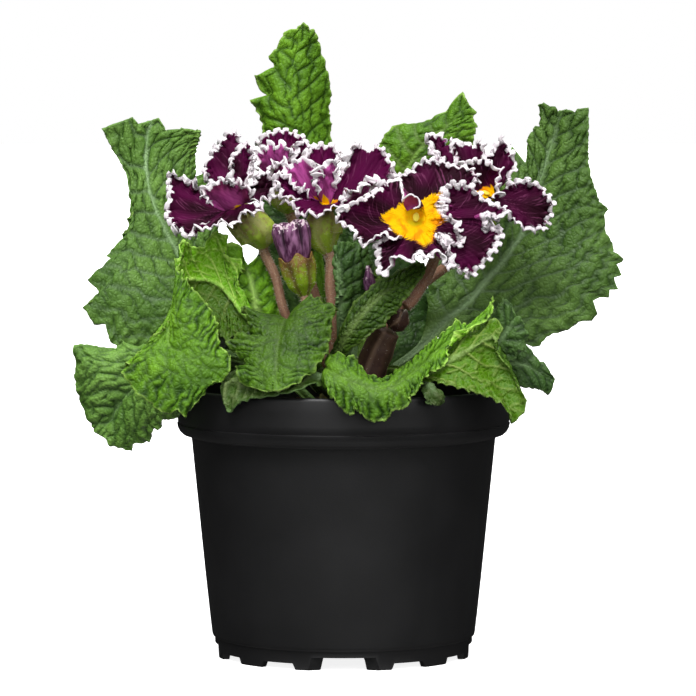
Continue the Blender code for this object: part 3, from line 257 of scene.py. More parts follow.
def round_solid(rings, values=None):
    """A closed solid (points, faces, values) from rings of points, each end closed by a fan."""
    count, sides = rings.shape[:2]
    index = np.arange(count * sides).reshape(count, sides)
    around = np.roll(index, -1, axis=1)
    a, b, c, d = index[:-1], around[:-1], around[1:], index[1:]
    split = np.stack([a, b, c, a, c, d], axis=-1).reshape(-1, 3)
    first, last = count * sides, count * sides + 1
    foot = np.stack([around[0], index[0], np.full(sides, first)], axis=-1)
    head = np.stack([index[-1], around[-1], np.full(sides, last)], axis=-1)
    points = np.concatenate([rings.reshape(-1, 3), rings[:1].mean(axis=1), rings[-1:].mean(axis=1)])
    kept = {}
    for name, value in (values or {}).items():
        ends = [value[0].mean(), value[-1].mean()]
        kept[name] = np.concatenate([value.reshape(-1), ends])
    return points, np.concatenate([split, foot, head]), kept


def piece_from(name, parts, finish, slot, *nodes):
    """One object from the parts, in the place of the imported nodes."""
    start = 0
    points, faces = [], []
    names = sorted({key for part in parts for key in part[2]})
    values = {key: [] for key in names}
    for part_points, part_faces, part_values in parts:
        points.append(part_points)
        faces.append(part_faces + start)
        start += len(part_points)
        for key in names:
            values[key].append(part_values.get(key, np.zeros(len(part_points))))
    mesh = bpy.data.meshes.new(name)
    mesh.from_pydata(np.concatenate(points) * MM, [], np.concatenate(faces).tolist())
    for key in names:
        layer = mesh.attributes.new(key, "FLOAT", "POINT")
        layer.data.foreach_set("value", np.concatenate(values[key]).astype(np.float32))
    mesh.materials.append(finish)
    mesh.shade_smooth()
    piece = bpy.data.objects.new(name, mesh)
    scene.collection.objects.link(piece)
    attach(piece, "root")
    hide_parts(*nodes)
    print(name, "triangles:", len(mesh.polygons))
    return piece


# %% [markdown]
# Few points are needed for an outline if a smooth curve runs through them. Growth is never quite
# even, so a sum of a few slow waves, with seeded directions, bends what would look too regular, and a
# fixed scatter gives each cell of a pattern a number of its own.

# %% Smooth curves and uneven growth
def smooth_curve(points, places):
    """Points on the smooth curve through the given points, at places from 0 to 1 along the list."""
    line = np.vstack([2 * points[0] - points[1], points, 2 * points[-1] - points[-2]])
    along = np.clip(places, 0, 1) * (len(points) - 1)
    k = np.minimum(along.astype(int), len(points) - 2)
    f = (along - k)[:, None]
    a, b, c, d = line[k], line[k + 1], line[k + 2], line[k + 3]
    bend = 2 * a - 5 * b + 4 * c - d
    twist = 3 * b - a - 3 * c + d
    return 0.5 * (2 * b + (c - a) * f + bend * f**2 + twist * f**3)


def line_length(points):
    return np.linalg.norm(np.diff(points, axis=0), axis=1).sum()


def running_length(points):
    """The length of the line up to each of its points."""
    return np.concatenate([[0], np.cumsum(np.linalg.norm(np.diff(points, axis=0), axis=1))])


def even_places(points, shares):
    """The places that lie at these shares of the smooth curve's length."""
    fine = np.linspace(0, 1, 400)
    lengths = running_length(smooth_curve(points, fine))
    return np.interp(np.asarray(shares) * lengths[-1], lengths, fine)


def ripple(x, y, size, seed):
    """Slow uneven waves about this size apart, from -1 to 1."""
    total = 0
    for turn, phase, stretch in np.random.default_rng(seed).random((5, 3)):
        way = math.tau * turn
        distance = (x * math.cos(way) + y * math.sin(way)) / (size * (0.7 + 0.8 * stretch))
        total = total + np.sin(math.tau * (distance + phase))
    return total / 3.2


def scatter(i, j, seed):
    """A number from 0 to 1 for each cell (i, j) of a lattice, always the same one."""
    return np.modf(np.abs(np.sin(i * 127.1 + j * 311.7 + seed * 74.7) * 43758.5453))[0]


def ramp(value, low, high):
    """0 below low, 1 above high, and a smooth rise between."""
    t = np.clip((value - low) / (high - low), 0, 1)
    return t * t * (3 - 2 * t)


print("halfway up a ramp from 2 to 6:", ramp(4, 2, 6))

# %% [markdown]
# A primrose leaf is soft green flesh under a thin clear wax, and its colour comes from chlorophyll
# below that skin. Its veins are sunk into the upper face, dark in their grooves with a pale line only
# along the main ones, and they stand out, pale, on the lower face. Young leaves are a fresh
# yellow-green with a pale frilled margin, old ones darker and bluer. Veins, midrib, hollows and margin
# come from the mesh, which knows where they run, as one number at each point. The finest net is drawn
# by the material. Its real meshes are under 1 mm wide, too fine to show, so it is drawn at 1.5 mm.

# %% Leaf finish
FINE_NET = 1.5
BLOTCH = 16.0
SKIN_GRAINS_PER_METRE = 2200.0
NET_RELIEF = 0.2


def leaf_finish(name, light, shade, groove, vein, below, below_vein, margin):
    # The wax gives a weak broad sheen that breaks up on every dome. The flesh below it is uneven, so the
    # eye sees soft blotches of two greens. Grooves and hollows are given painted shade, the darkest green,
    # where no light reaches them.
    made, add, shader = new_finish(name, Roughness=0.5, Specular_IOR_Level=0.25)
    place = add("TexCoord").outputs["Object"]
    veins, cells, pale, midrib, edge, lower, hollow, bright = [
        add("Attribute", attribute_name=given).outputs["Fac"]
        for given in ("vein", "net", "pale", "midrib", "margin", "underside", "hollow", "bright")
    ]
    blotch = add("TexNoise", {"Vector": place, "Scale": 1000 / BLOTCH, "Detail": 4})
    patches = add("MapRange", {0: blotch, 1: 0.36, 2: 0.64})
    meshes = {"Vector": place, "Scale": 1000 / FINE_NET}
    net = add("TexVoronoi", meshes, feature="DISTANCE_TO_EDGE")
    fine = add("MapRange", {0: net, 2: 0.14, 3: 1, 4: 0})

    # Painted shade: the hollows between the domes and the pleats' grooves are mixed towards the groove
    # green.
    sunk = add("Math", {0: hollow, 1: 0.9})
    fine_share = add("Math", {0: fine, 1: 0.25})
    pale_line = add("Math", {0: veins, 1: pale})
    upper = add("Mix", {0: patches, 6: light, 7: shade})
    upper = add("Mix", {0: sunk, 6: upper, 7: groove})
    upper = add("Mix", {0: fine_share, 6: upper, 7: groove})
    upper = add("Mix", {0: pale_line, 6: upper, 7: vein})

    raised = add("Math", {0: cells, 1: 0.6})
    raised = add("Math", {0: veins, 1: raised}, operation="MAXIMUM")
    faint = add("Math", {0: fine, 1: 0.2})
    raised = add("Math", {0: raised, 1: faint}, operation="MAXIMUM")
    under = add("Mix", {0: patches, 6: below, 7: groove})
    under = add("Mix", {0: 0.65, 6: under, 7: below})
    under = add("Mix", {0: raised, 6: under, 7: below_vein})

    rim = add("MapRange", {0: edge, 1: 0.1, 2: 0.8, 3: 0.75, 4: 0})
    both = add("Mix", {0: lower, 6: upper, 7: under})
    both = add("Mix", {0: midrib, 6: both, 7: vein})
    both = add("Mix", {0: rim, 6: both, 7: margin})
    # Painted light and shade: bright lightens and darkens the colour, lighter on dome tops and pleat
    # crests.
    lit_and_shaded_colour = add("HueSaturation", {"Color": both, "Value": bright})

    grain = add("TexNoise", {"Vector": place, "Scale": SKIN_GRAINS_PER_METRE, "Detail": 2})
    rough = add("MapRange", {0: grain, 1: 0.3, 2: 0.7, 3: 0.4, 4: 0.6})
    relief = add("MapRange", {0: net, 2: 0.35})
    bump = add("Bump", {"Height": relief, "Distance": NET_RELIEF * MM, "Strength": 0.9})
    fill(shader, {"Base Color": lit_and_shaded_colour, "Roughness": rough, "Normal": bump})
    return made


LEAF_FINISHES = {
    "mature": leaf_finish(
        "mature leaf, waxy green", light="#628639", shade="#4b6d28", groove="#223f15", vein="#8ba879",
        below="#5b8020", below_vein="#9ab868", margin="#668b42",
    ),
    # deep is the darker green of old leaves, and is also given to leaves that lie in shade, as painted
    # shade.
    "deep": leaf_finish(
        "old and shaded leaves, deep green", light="#4e7030", shade="#375724", groove="#162e10", vein="#7b9a66",
        below="#45651f", below_vein="#7d9157", margin="#5f8044",
    ),
    "fresh": leaf_finish(
        "fresh leaf, bright green", light="#628f1c", shade="#4a7312", groove="#1b3c06", vein="#98b962",
        below="#5c9008", below_vein="#acc862", margin="#8fb450",
    ),
}
LEAF_SLOTS = {"mature": "leaf_green", "deep": "leaf_dark", "fresh": "leaf_young"}
print("leaf finishes:", ", ".join(finish.name for finish in LEAF_FINISHES.values()))

# %% [markdown]
# Where each leaf lies. A rib is the left edge, midrib and right edge as seen from the camera: across,
# up and depth. The stalk is the midrib's line from the crown. An outline holds runs of points along
# the real margin, where it could be read. The rest has a common value, and tells one leaf from another:
# - face is -1 where the ribs are read from below, puff is how far each half bulges, as a share of its
#   width, and grid is the step of its mesh in mm
# - veins and cell are the pitch in mm of its side veins, which otherwise follows from its length, and
#   of its cells, and slope turns the veins
# - crinkle is how high the cells swell in mm and calm how much less near the stalk, pleats is how
#   deep folds run in from the margin and frill how far the margin waves
# - rib, rib_end, rib_size and rib_wide make the pale midrib weaker, shorter, lower or wider,
#   vein_width does it for the side veins, pale lightens them, and hollow darkens what lies deep, as
#   painted shade
# - bright scales the whole leaf's colour, partly its own tone and partly painted light and shade, and
#   tip_bright adds painted light to its outer part; lee and lit paint shade and light on its two
#   halves near the stalk, where the blade folds away from the light.

# %% The common leaf
COMMON_LEAF = dict(
    face=1, puff=0.1, grid=0.6, outline=[], veins=None, cell=4.6, slope=1, vein_width=1, crinkle=0.8,
    calm=0, pleats=0, frill=0.5, rib=0.8, rib_end=0.8, rib_size=1, rib_wide=1, pale=0, hollow=1,
    bright=1, tip_bright=0, lee=0, lit=0,
)
print("words that a leaf may leave out:", ", ".join(COMMON_LEAF))

# %% Leaves on the left
LEAVES = {}
LEAVES["leaf_left_tall"] = dict(
    finish="mature", veins=8, bright=1.3, grid=0.78, crinkle=1.15, pale=0.5, rib_end=0.75,
    outline=[
        [(-60, 101), (-62, 96.5), (-71, 97), (-73.5, 98.5), (-75, 104), (-78.5, 104), (-82, 109.5),
         (-77, 112), (-77, 114.5), (-80.5, 118), (-74.5, 121), (-72.5, 124.5), (-74.5, 125.5),
         (-70, 130.5), (-68, 134), (-67, 138), (-67.3, 143), (-68, 150), (-69.5, 154), (-72, 158),
         (-75.5, 165.5), (-72, 167), (-66, 169.2), (-64.5, 167), (-58, 168.8), (-56, 165), (-50, 165.5),
         (-45, 164.5), (-46.5, 158), (-47, 150)],
    ],
    stalk=[(-7.6, 84, 3.6), (-15, 92, 7), (-25, 101.5, 11)],
    ribs=[
        ((-37, 104, 12), (-34, 109, 14), (-31, 113, 16)),
        ((-61, 98, 9), (-44, 118, 18), (-37.5, 126.5, 21)),
        ((-74, 99, 9), (-50.5, 125, 20), (-41, 137, 24.5)),
        ((-81.5, 109.5, 11), (-54.5, 131, 21), (-40, 144, 27)),
        ((-79, 119, 15), (-57.5, 137, 22), (-42, 150, 28)),
        ((-69.5, 131, 19), (-60.5, 144, 23), (-44, 156, 29)),
        ((-68, 143, 22), (-62, 152, 25), (-45.5, 160, 29)),
        ((-70, 154, 25), (-62, 159, 27), (-46, 163, 29)),
        ((-75, 165, 27), (-60.5, 168, 28), (-45.5, 165, 29)),
    ],
)
LEAVES["leaf_left_low"] = dict(
    puff=0.14, finish="mature", crinkle=1.1, veins=6.5, bright=1.55, grid=0.72, rib=0.3,
    outline=[
        [(-50, 76), (-54.5, 74), (-57, 74), (-58, 70.5), (-60, 71.5), (-61, 67), (-66.5, 66), (-67, 64),
         (-74, 65.5), (-75, 68), (-78.5, 70), (-80.5, 75), (-83, 79.5), (-84, 84), (-85, 88), (-84, 91),
         (-85, 95), (-85, 97.5), (-80.5, 98), (-72, 97)],
    ],
    stalk=[(-8.4, 79.9, -2.4), (-18, 88, -4), (-32, 94, -5)],
    ribs=[
        ((-45, 92.5, -12), (-44, 95, -7), (-45, 97.5, -2)),
        ((-50.5, 81.5, -26), (-55, 91.5, -8), (-58, 98, 0)),
        ((-55, 73.5, -15), (-63, 86.5, -3), (-72, 97, 3)),
        ((-60, 69, -9), (-69, 80.5, 0), (-84, 96.5, 4)),
        ((-66, 65, -4), (-73, 74.5, 1), (-84, 85, 4)),
        ((-73, 65.5, -1), (-76.5, 70, 1), (-80, 75, 3)),
    ],
)
LEAVES["leaf_left_front"] = dict(
    face=-1, puff=0.05, finish="fresh", frill=0.9, veins=6.5, cell=4.2, bright=1.2, crinkle=0.6, grid=0.55,
    calm=0.85, hollow=0.5, pleats=1.2, rib=0.3, rib_size=0.5, lee=0.6, lit=0.2, vein_width=0.6,
    outline=[
        [(-58, 100), (-63, 96), (-70, 89.5), (-68, 86), (-65, 82), (-60, 79), (-59, 77), (-55, 76),
         (-52, 77), (-50, 74.5), (-47.5, 78), (-44, 82), (-42, 86), (-38, 86), (-35.5, 89.5),
         (-35.5, 94), (-38.6, 97), (-39.6, 100.5), (-39.5, 104), (-42, 109.5), (-45, 113), (-49, 117)],
        [(-50, 130), (-46.5, 128), (-43.5, 128.5), (-41.5, 133), (-40, 133.5), (-36.5, 132), (-38, 128),
         (-36, 125), (-32, 124.5), (-30.5, 121), (-35, 119.5), (-33.5, 116.5), (-31, 114.5), (-30, 111)],
    ],
    stalk=[(-7, 83, -4.9), (-13, 90, -10.5), (-21, 98, -15), (-27, 102.5, -17.5)],
    ribs=[
        ((-31, 101, -19), (-31.2, 107, -18), (-31, 113.5, -16)),
        ((-35, 100.5, -19), (-35, 112, -15), (-35.5, 125, -13.5)),
        ((-39.5, 101, -19), (-40.5, 117, -14), (-39.5, 133, -14.5)),
        ((-44, 103, -21), (-46, 118, -15), (-46.5, 128.5, -16.5)),
        ((-49.5, 103.5, -26), (-51.3, 117, -21), (-50.5, 130, -20.5)),
        ((-57, 101, -33), (-53, 111, -28.5), (-51.8, 121, -25)),
        ((-69.5, 89.5, -37), (-55, 98, -35.5), (-48.5, 116.5, -30)),
        ((-61, 79, -41.5), (-50, 95, -39.5), (-42, 109, -33.5)),
        ((-50.5, 75, -43.5), (-45, 91, -41.5), (-39.8, 100.5, -36.5)),
        ((-42.5, 84, -42), (-39, 89, -41.3), (-35.8, 94, -39)),
    ],
)
LEAVES["leaf_left_inner"] = dict(
    puff=0.08, finish="fresh", bright=2.2,
    outline=[
        [(-38.6, 122), (-38.8, 125), (-38.2, 127.6), (-36.6, 129.2), (-35, 129.8), (-33, 129.3),
         (-31.8, 128.2), (-31.2, 125.5), (-30.2, 122.6), (-28.5, 124), (-26.8, 125.6), (-25.4, 125.4)],
    ],
    stalk=[(-8.3, 84.5, -1), (-17, 97, -3)],
    ribs=[
        ((-29, 106, -5), (-26, 106, -5), (-20, 104.5, -4)),
        ((-35, 115, -7), (-28.5, 115, -6), (-20.8, 115, -4)),
        ((-36.5, 121, -7.5), (-30, 120.5, -5.5), (-22.6, 119.5, -3.2)),
        ((-36, 127.5, -7), (-31, 125.2, -4.5), (-25.6, 125.6, -2.2)),
    ],
)
print("leaves so far:", len(LEAVES))

# %% Leaves in front
LEAVES["leaf_front_left"] = dict(
    face=-1, puff=0.06, finish="fresh", frill=0.9, veins=6.5, cell=4.2, bright=0.5, tip_bright=0.95,
    crinkle=0.45, grid=0.5, calm=0.85, hollow=0.4, pleats=0.7, rib=0.15,
    outline=[
        [(-31, 110), (-29, 100), (-33, 101), (-37, 98), (-34, 95), (-31, 93), (-30, 90.5), (-34, 91),
         (-33, 87), (-30, 84.5), (-25, 83), (-20, 83.5), (-17, 85), (-13.5, 86), (-12, 88), (-8.5, 89),
         (-8, 92), (-5, 95), (-4, 101), (-3.5, 106), (-2, 109.5), (-6, 111), (-10, 113.5), (-14, 109.5)],
    ],
    stalk=[(-4.2, 84, -7.4), (-9, 92, -14), (-14, 100, -21)],
    ribs=[
        ((-21, 104, -24), (-17, 104.5, -25.5), (-13, 105.5, -23)),
        ((-28, 108, -28), (-18, 106.5, -31), (-9.5, 113, -27)),
        ((-32, 106, -33), (-19.5, 103, -39), (-2.5, 108.5, -33)),
        ((-33, 99, -38), (-20.5, 97, -45), (-3.5, 102, -41)),
        ((-34.6, 92, -43.5), (-21, 91, -51), (-8, 93, -49)),
        ((-31.5, 86.3, -49), (-21, 86.5, -54.3), (-13, 87.8, -54)),
        ((-25, 84, -54.5), (-21, 84.2, -56.3), (-17, 85.5, -56.3)),
    ],
)
LEAVES["leaf_under_front"] = dict(
    puff=0.02, finish="deep",
    outline=[
        [(-38, 88), (-39, 83), (-37, 77.5), (-35.5, 76.5), (-33, 79), (-28, 80.5), (-15, 83), (-8, 86)],
    ],
    stalk=[(-3.5, 80, -7.9), (-8.5, 85.5, -21), (-7.5, 88.5, -33)],
    ribs=[
        ((-8, 88.5, -41), (-7.5, 86.6, -46), (-7, 84.6, -50.5)),
        ((-12, 90, -39), (-11.5, 88, -46), (-11, 85.4, -51.5)),
        ((-18, 90, -38), (-18, 87.8, -46.5), (-18, 83.2, -54.8)),
        ((-26, 90, -36), (-27, 86.7, -44.3), (-28, 81, -49.8)),
        ((-33, 89.5, -35), (-34.5, 86, -41.5), (-34, 78.7, -45.2)),
        ((-38.5, 87.8, -34.5), (-38.8, 84, -40.3), (-36.8, 77, -43.3)),
    ],
)
LEAVES["leaf_young_arching"] = dict(
    finish="fresh", crinkle=0.9, veins=3, cell=1.7, bright=0.4, grid=0.4, rib=0.75, rib_wide=1.4,
    stalk=[(-1.5, 84.5, -8.2), (-3.5, 89, -17)],
    ribs=[
        ((-5.2, 93, -26), (-3.8, 92, -27), (-2.4, 91.5, -28)),
        ((-1, 102, -29), (0.3, 99.5, -32), (4.5, 98, -33)),
        ((2.5, 109, -30), (5, 106.5, -33), (10.5, 103, -34)),
        ((8.5, 115.5, -29), (10, 112, -31.5), (15.5, 107, -33)),
        ((15.5, 120, -26.5), (16, 115.8, -28.5), (19.3, 112, -31)),
        ((21, 122.5, -23), (21.5, 119.3, -24.5), (23, 117, -27)),
        ((25.5, 123.5, -20.5), (25.8, 122.5, -20.5), (26, 121.3, -21)),
    ],
)
# A young leaf, given the deep finish as painted shade.
LEAVES["leaf_young_crinkled"] = dict(
    puff=0.12, finish="deep", crinkle=1.1, veins=4.6, cell=3,
    stalk=[(-0.2, 86.6, -4.9), (-0.6, 97, -13)],
    ribs=[
        ((-2.4, 107, -17), (-1.2, 107, -17.5), (1.5, 107, -17)),
        ((-2.6, 113, -17.5), (-1.4, 113, -18.5), (6.2, 113, -15.5)),
        ((-2.8, 119, -17.5), (-1.6, 119, -18.5), (8.4, 119.5, -14.5)),
        ((-3, 125, -17), (-1.9, 125, -18), (7.5, 126, -14.5)),
        ((-2.8, 129, -16.5), (-1.9, 129, -17), (4, 130, -15)),
    ],
)
LEAVES["leaf_front_right"] = dict(
    finish="fresh", frill=0.8, veins=6.5, bright=0.98, tip_bright=0.8, crinkle=0.6, grid=0.5, calm=0.6,
    hollow=0.45, pleats=1.4, rib=0.1,
    outline=[
        [(17, 89), (23, 94), (30, 100.6), (33.5, 103.5), (35.5, 106.1), (39.6, 103.9), (42.9, 105.9),
         (46.2, 109.6), (47.4, 112.7)],
        [(47, 108), (45, 105), (40, 103), (34.7, 101.8), (33.5, 98.2), (32.3, 94.9), (32.7, 92.4),
         (31.4, 90.4), (27.3, 89.1), (24.1, 85.4), (24.1, 83.4), (20.8, 80.9), (21.4, 79.4),
         (18.7, 77.4), (15, 76.4), (14.8, 75.2), (13, 73.3), (9.7, 73.1), (6.4, 74.8), (3.4, 78),
         (3.4, 75.6), (1.9, 75), (-0.5, 77.2), (-3, 80.5), (-5, 84)],
    ],
    stalk=[(1.3, 80, -8.6), (-0.5, 87.5, -24), (-3.2, 92.5, -36)],
    ribs=[
        ((-4.5, 94.5, -42), (-5.5, 90.5, -47), (-5.8, 83.2, -54.8)),
        ((0, 94.5, -44), (-1.5, 88, -52.5), (-3, 79, -56)),
        ((4.5, 91.5, -45.5), (3, 85.8, -54.4), (2.2, 75.8, -57.3)),
        ((9.5, 87.8, -47.5), (9, 83.5, -55.2), (9, 73.8, -57.6)),
        ((14.5, 87.8, -46.5), (14.5, 83.8, -54.6), (15, 76.3, -57)),
        ((18.5, 91.5, -44), (18.5, 86.5, -52), (20.5, 79.3, -55.5)),
        ((23.5, 95.5, -40), (24, 90.5, -46.5), (25.5, 84.8, -51)),
        ((28.5, 99.5, -36.5), (28, 94.8, -41.5), (29, 88.5, -46)),
        ((34, 104, -33), (33, 99, -37), (33, 94.5, -41)),
        ((40.5, 105, -30), (39.5, 102.3, -32.5), (39, 100, -35)),
        ((47, 112, -26.5), (46.8, 110.3, -27.5), (47, 108.5, -29)),
    ],
)
print("leaves so far:", len(LEAVES))

# %% Leaves on the right
LEAVES["leaf_right_front"] = dict(
    face=-1, puff=0.06, finish="fresh", frill=0.8, veins=7, bright=0.7, grid=0.6, rib_size=0.5,
    crinkle=0.6, vein_width=0.6,
    outline=[
        [(49.5, 104), (50.3, 102.3), (48.7, 99.4), (47.4, 97.7), (49.1, 92.8), (52.2, 90.3), (55, 85),
         (58, 80), (56, 75), (53, 73), (52.2, 76.4), (49.5, 78.9), (46.2, 80.9), (40.9, 82.5),
         (33.9, 84.2), (29.4, 85.4)],
    ],
    stalk=[(5.8, 84, -6.2), (14.5, 89.5, -12), (20, 88.6, -27)],
    ribs=[
        ((22, 88.8, -36), (23, 87.3, -37.5), (24, 85.9, -39)),
        ((26.5, 93, -35), (29, 89.3, -40), (31, 86, -43)),
        ((31.5, 98, -32), (35, 92.8, -39.5), (40, 83.8, -46)),
        ((37, 102, -29.5), (40, 96.2, -39), (47, 80, -45.5)),
        ((42.5, 103.5, -27), (44, 99, -37), (53.5, 73.5, -42)),
        ((47, 105, -29.5), (47, 99.8, -37), (57.5, 79, -41)),
        ((49.5, 103.8, -34), (48.6, 99.5, -37.5), (54, 88, -40)),
        ((50, 101, -36.5), (49.2, 98.5, -37.5), (50.5, 94, -39)),
    ],
)
LEAVES["leaf_right_inner"] = dict(
    finish="deep",
    stalk=[(7.2, 83.6, -3.5), (22, 92, -12), (34, 94, -18)],
    ribs=[
        ((43, 98, -20), (43.5, 95.5, -21), (44.5, 93.5, -22)),
        ((46.5, 105, -22), (49, 99, -24), (52, 92.5, -26)),
        ((49, 110, -22.5), (52, 103, -24.5), (56.5, 97, -26)),
        ((51.5, 111.5, -23), (54.5, 106.8, -24), (58, 102.5, -25)),
    ],
)
LEAVES["leaf_right_low"] = dict(
    puff=0.12, finish="deep",
    outline=[
        [(57, 98), (60, 95), (61, 92), (63, 92.5), (64.5, 90), (66.5, 86.5), (65.5, 83), (64.5, 81.5),
         (62, 83.5), (55, 84.5), (52, 88)],
    ],
    stalk=[(8.2, 79.9, -3), (24, 89.5, -11), (38, 90.5, -15)],
    ribs=[
        ((47, 94.5, -13.5), (47, 91, -15), (48, 88, -16.5)),
        ((54, 98, -13), (54.5, 91.5, -16), (54.5, 85.8, -18.5)),
        ((59.5, 95.5, -14), (60, 89.5, -16), (60.5, 83.6, -18)),
        ((65.5, 89.5, -15.5), (66, 86, -16), (65, 82, -16.5)),
    ],
)
LEAVES["leaf_rim_right"] = dict(
    puff=0.05, finish="deep", bright=0.6,
    stalk=[(6.7, 79.7, -5.6), (15.8, 83.2, -17), (21.5, 83.6, -34)],
    ribs=[
        ((24.2, 83.8, -44), (25.7, 83.6, -43.2), (27.2, 83.5, -42.4)),
        ((25.2, 81.8, -49.2), (28.3, 82, -48.3), (31.4, 81.8, -46.3)),
        ((26.4, 78.6, -49.6), (29, 78.3, -48.8), (31.2, 79, -47.3)),
    ],
)
LEAVES["leaf_right_tall"] = dict(
    finish="mature", veins=8, bright=0.88, grid=0.78, crinkle=1.15, pale=0.45, rib_end=0.75,
    outline=[
        [(57.3, 154.5), (57.9, 161.9), (60, 166.5), (61.6, 166.2), (61, 172.8), (62.9, 173.6),
         (64.5, 172.5), (66.3, 172.5), (67.1, 170.9), (69.8, 171.6), (72.4, 170.7), (73.5, 171.7),
         (76.6, 172.1), (76.6, 163), (76.9, 154.5), (78, 149.2), (80.1, 142.8), (82.8, 140.2),
         (81.7, 139.1), (82, 132.8), (84.3, 129.6), (84.6, 126.5), (88.1, 124.6), (85.7, 122.8),
         (87.5, 119.6), (84.9, 118.8), (86.2, 115.3), (83.8, 114.8), (83.5, 112.4), (80.4, 112.7),
         (78.5, 111.6), (79.8, 107.4), (78, 105.3), (73.7, 104.8), (70.3, 102.4), (66.6, 101.5),
         (63.7, 100.5), (61.6, 97.6), (59.2, 97.3), (56, 98.3)],
    ],
    stalk=[(8, 84, 2.9), (16, 90.5, 6), (25, 98, 9)],
    ribs=[
        ((26.5, 109, 14), (33, 106, 12), (36, 102.5, 10)),
        ((27.5, 119, 18.5), (40, 112, 15), (59, 98, 9)),
        ((32.5, 130, 22.5), (46, 119, 18), (72, 103.5, 10)),
        ((41, 140, 26), (51, 125, 20), (83.4, 113.5, 12)),
        ((45, 148, 28), (55, 131, 22), (86.2, 123, 15)),
        ((49, 155, 29), (58, 138, 23.5), (83, 134, 18)),
        ((54, 159, 29), (60.5, 146, 25), (80, 143, 20)),
        ((57.5, 162, 29), (63.5, 155, 26.5), (77.3, 153, 22)),
        ((59.5, 167, 29), (66, 164, 27), (77, 163, 24)),
        ((61, 173.3, 28.5), (68.5, 171.5, 27.5), (76.5, 172, 26)),
    ],
)
print("leaves so far:", len(LEAVES))

# %% Leaves behind
LEAVES["leaf_top"] = dict(
    finish="fresh", crinkle=1.1, veins=7, bright=1.3, rib=0, cell=5.2,
    outline=[
        [(-25.2, 165), (-25.2, 166.7), (-26.5, 170), (-29.5, 174.5), (-24.2, 176), (-26.5, 178),
         (-28.1, 182.2), (-21.7, 184.2), (-21.7, 185.2), (-23.2, 188.2), (-20.5, 191), (-18.7, 195.2),
         (-16.5, 196.4), (-14, 196.6), (-13.5, 197.8), (-12.5, 198.8), (-11.5, 197.8), (-11.2, 196.2),
         (-9.7, 196.7), (-8.7, 195.5), (-7.5, 192), (-6.5, 188.2), (-5.2, 183.2), (-4.1, 176.7),
         (-4.5, 172.2), (-3.5, 166), (-3.9, 163), (-3, 160.2)],
    ],
    stalk=[(-1.5, 84, 8.4), (-5, 105, 18), (-8, 127, 23)],
    ribs=[
        ((-13, 145, 29), (-8, 145, 26), (-3, 145, 30)),
        ((-22.5, 156, 29), (-12, 157, 25.5), (-3.2, 157, 33)),
        ((-25.5, 166, 30), (-14.5, 166, 25), (-4, 166, 34)),
        ((-26.5, 174, 30), (-16, 175, 25), (-4.4, 174, 34)),
        ((-25.5, 182.5, 30), (-15.8, 183, 25.5), (-5.4, 182, 33.5)),
        ((-21.5, 190, 29.5), (-14.5, 190.5, 27), (-7.2, 190, 32)),
        ((-16.5, 196.3, 29), (-12.8, 197, 28.5), (-9.5, 196.3, 30)),
    ],
)
LEAVES["leaf_upper_right"] = dict(
    finish="fresh", crinkle=0.9, bright=1.15, rib=0.3, pale=0.5,
    outline=[
        [(12, 162), (15, 165.7), (16.6, 166.7), (25.3, 167.6), (32, 170.5), (37.5, 177), (39, 173.5),
         (41.5, 170.5), (40, 168.5), (41.6, 166.7), (40.6, 163.3), (40.5, 160)],
    ],
    stalk=[(4.3, 84, 7.4), (8, 108, 14), (13, 128, 17)],
    ribs=[
        ((14, 143, 18.5), (16.5, 142, 18), (19, 141, 18.5)),
        ((12, 154, 19), (19, 152, 17), (29, 150, 18)),
        ((12.5, 162.5, 20), (24, 159.5, 16.5), (38, 157, 19)),
        ((21, 167, 21), (30, 164.5, 17), (41, 163, 19)),
        ((30, 170.5, 21), (35, 168.5, 18), (41.3, 167.5, 19)),
        ((37, 176.5, 20.5), (38.7, 174, 19), (40.6, 171.5, 19)),
    ],
)
LEAVES["leaf_back_middle"] = dict(
    finish="deep", grid=1.3,
    stalk=[(1.4, 82.6, 8.4), (2, 85.5, 12)],
    ribs=[
        ((-7, 89, 17), (3, 88, 15), (15, 89, 16)),
        ((-12, 97, 20), (3, 97.5, 19), (25, 97, 20.5)),
        ((-17, 106, 24), (2, 108, 22.5), (27, 106, 24)),
        ((-23, 114, 27), (1, 116, 24.5), (26, 114, 26)),
        ((-25, 123, 29.5), (0, 124, 27.5), (25, 122, 27.5)),
        ((-26, 131.5, 31), (-2, 132, 30.5), (16, 130, 29)),
        ((-26.5, 138.5, 33), (-10, 140, 33), (5, 137, 32)),
        ((-24, 145, 34), (-16, 146.5, 34.5), (-8, 144.5, 34)),
    ],
)
LEAVES["leaf_back_left"] = dict(
    face=-1, finish="mature", grid=1.3,
    stalk=[(-4.2, 81.3, 7.7), (-9, 87.4, 18)],
    ribs=[
        ((-8, 92, 27), (-12, 92, 27), (-16, 92, 26)),
        ((-4, 95, 40), (-16, 97.5, 38), (-38, 102, 32)),
        ((-3, 91, 52), (-18, 92.5, 50), (-42, 92, 42)),
        ((-6, 82, 57), (-19, 84, 56.5), (-37, 81, 49)),
        ((-15, 73.5, 57.5), (-20, 73.5, 57), (-25, 73.5, 56)),
    ],
)
LEAVES["leaf_back_right"] = dict(
    face=-1, finish="mature", grid=1.2,
    stalk=[(5.6, 81.3, 6.8), (12, 87, 15)],
    ribs=[
        ((20, 91, 21), (17, 91, 24), (14, 91, 26)),
        ((34, 94, 30), (23, 95.5, 34), (9, 95, 39)),
        ((44, 90, 36), (31, 92, 43), (14, 91, 50)),
        ((47, 80, 40), (36, 83, 47), (22, 81, 54)),
        ((42, 72, 44.5), (39.5, 71.5, 47), (36.5, 72, 49)),
    ],
)
print("leaves:", len(LEAVES))

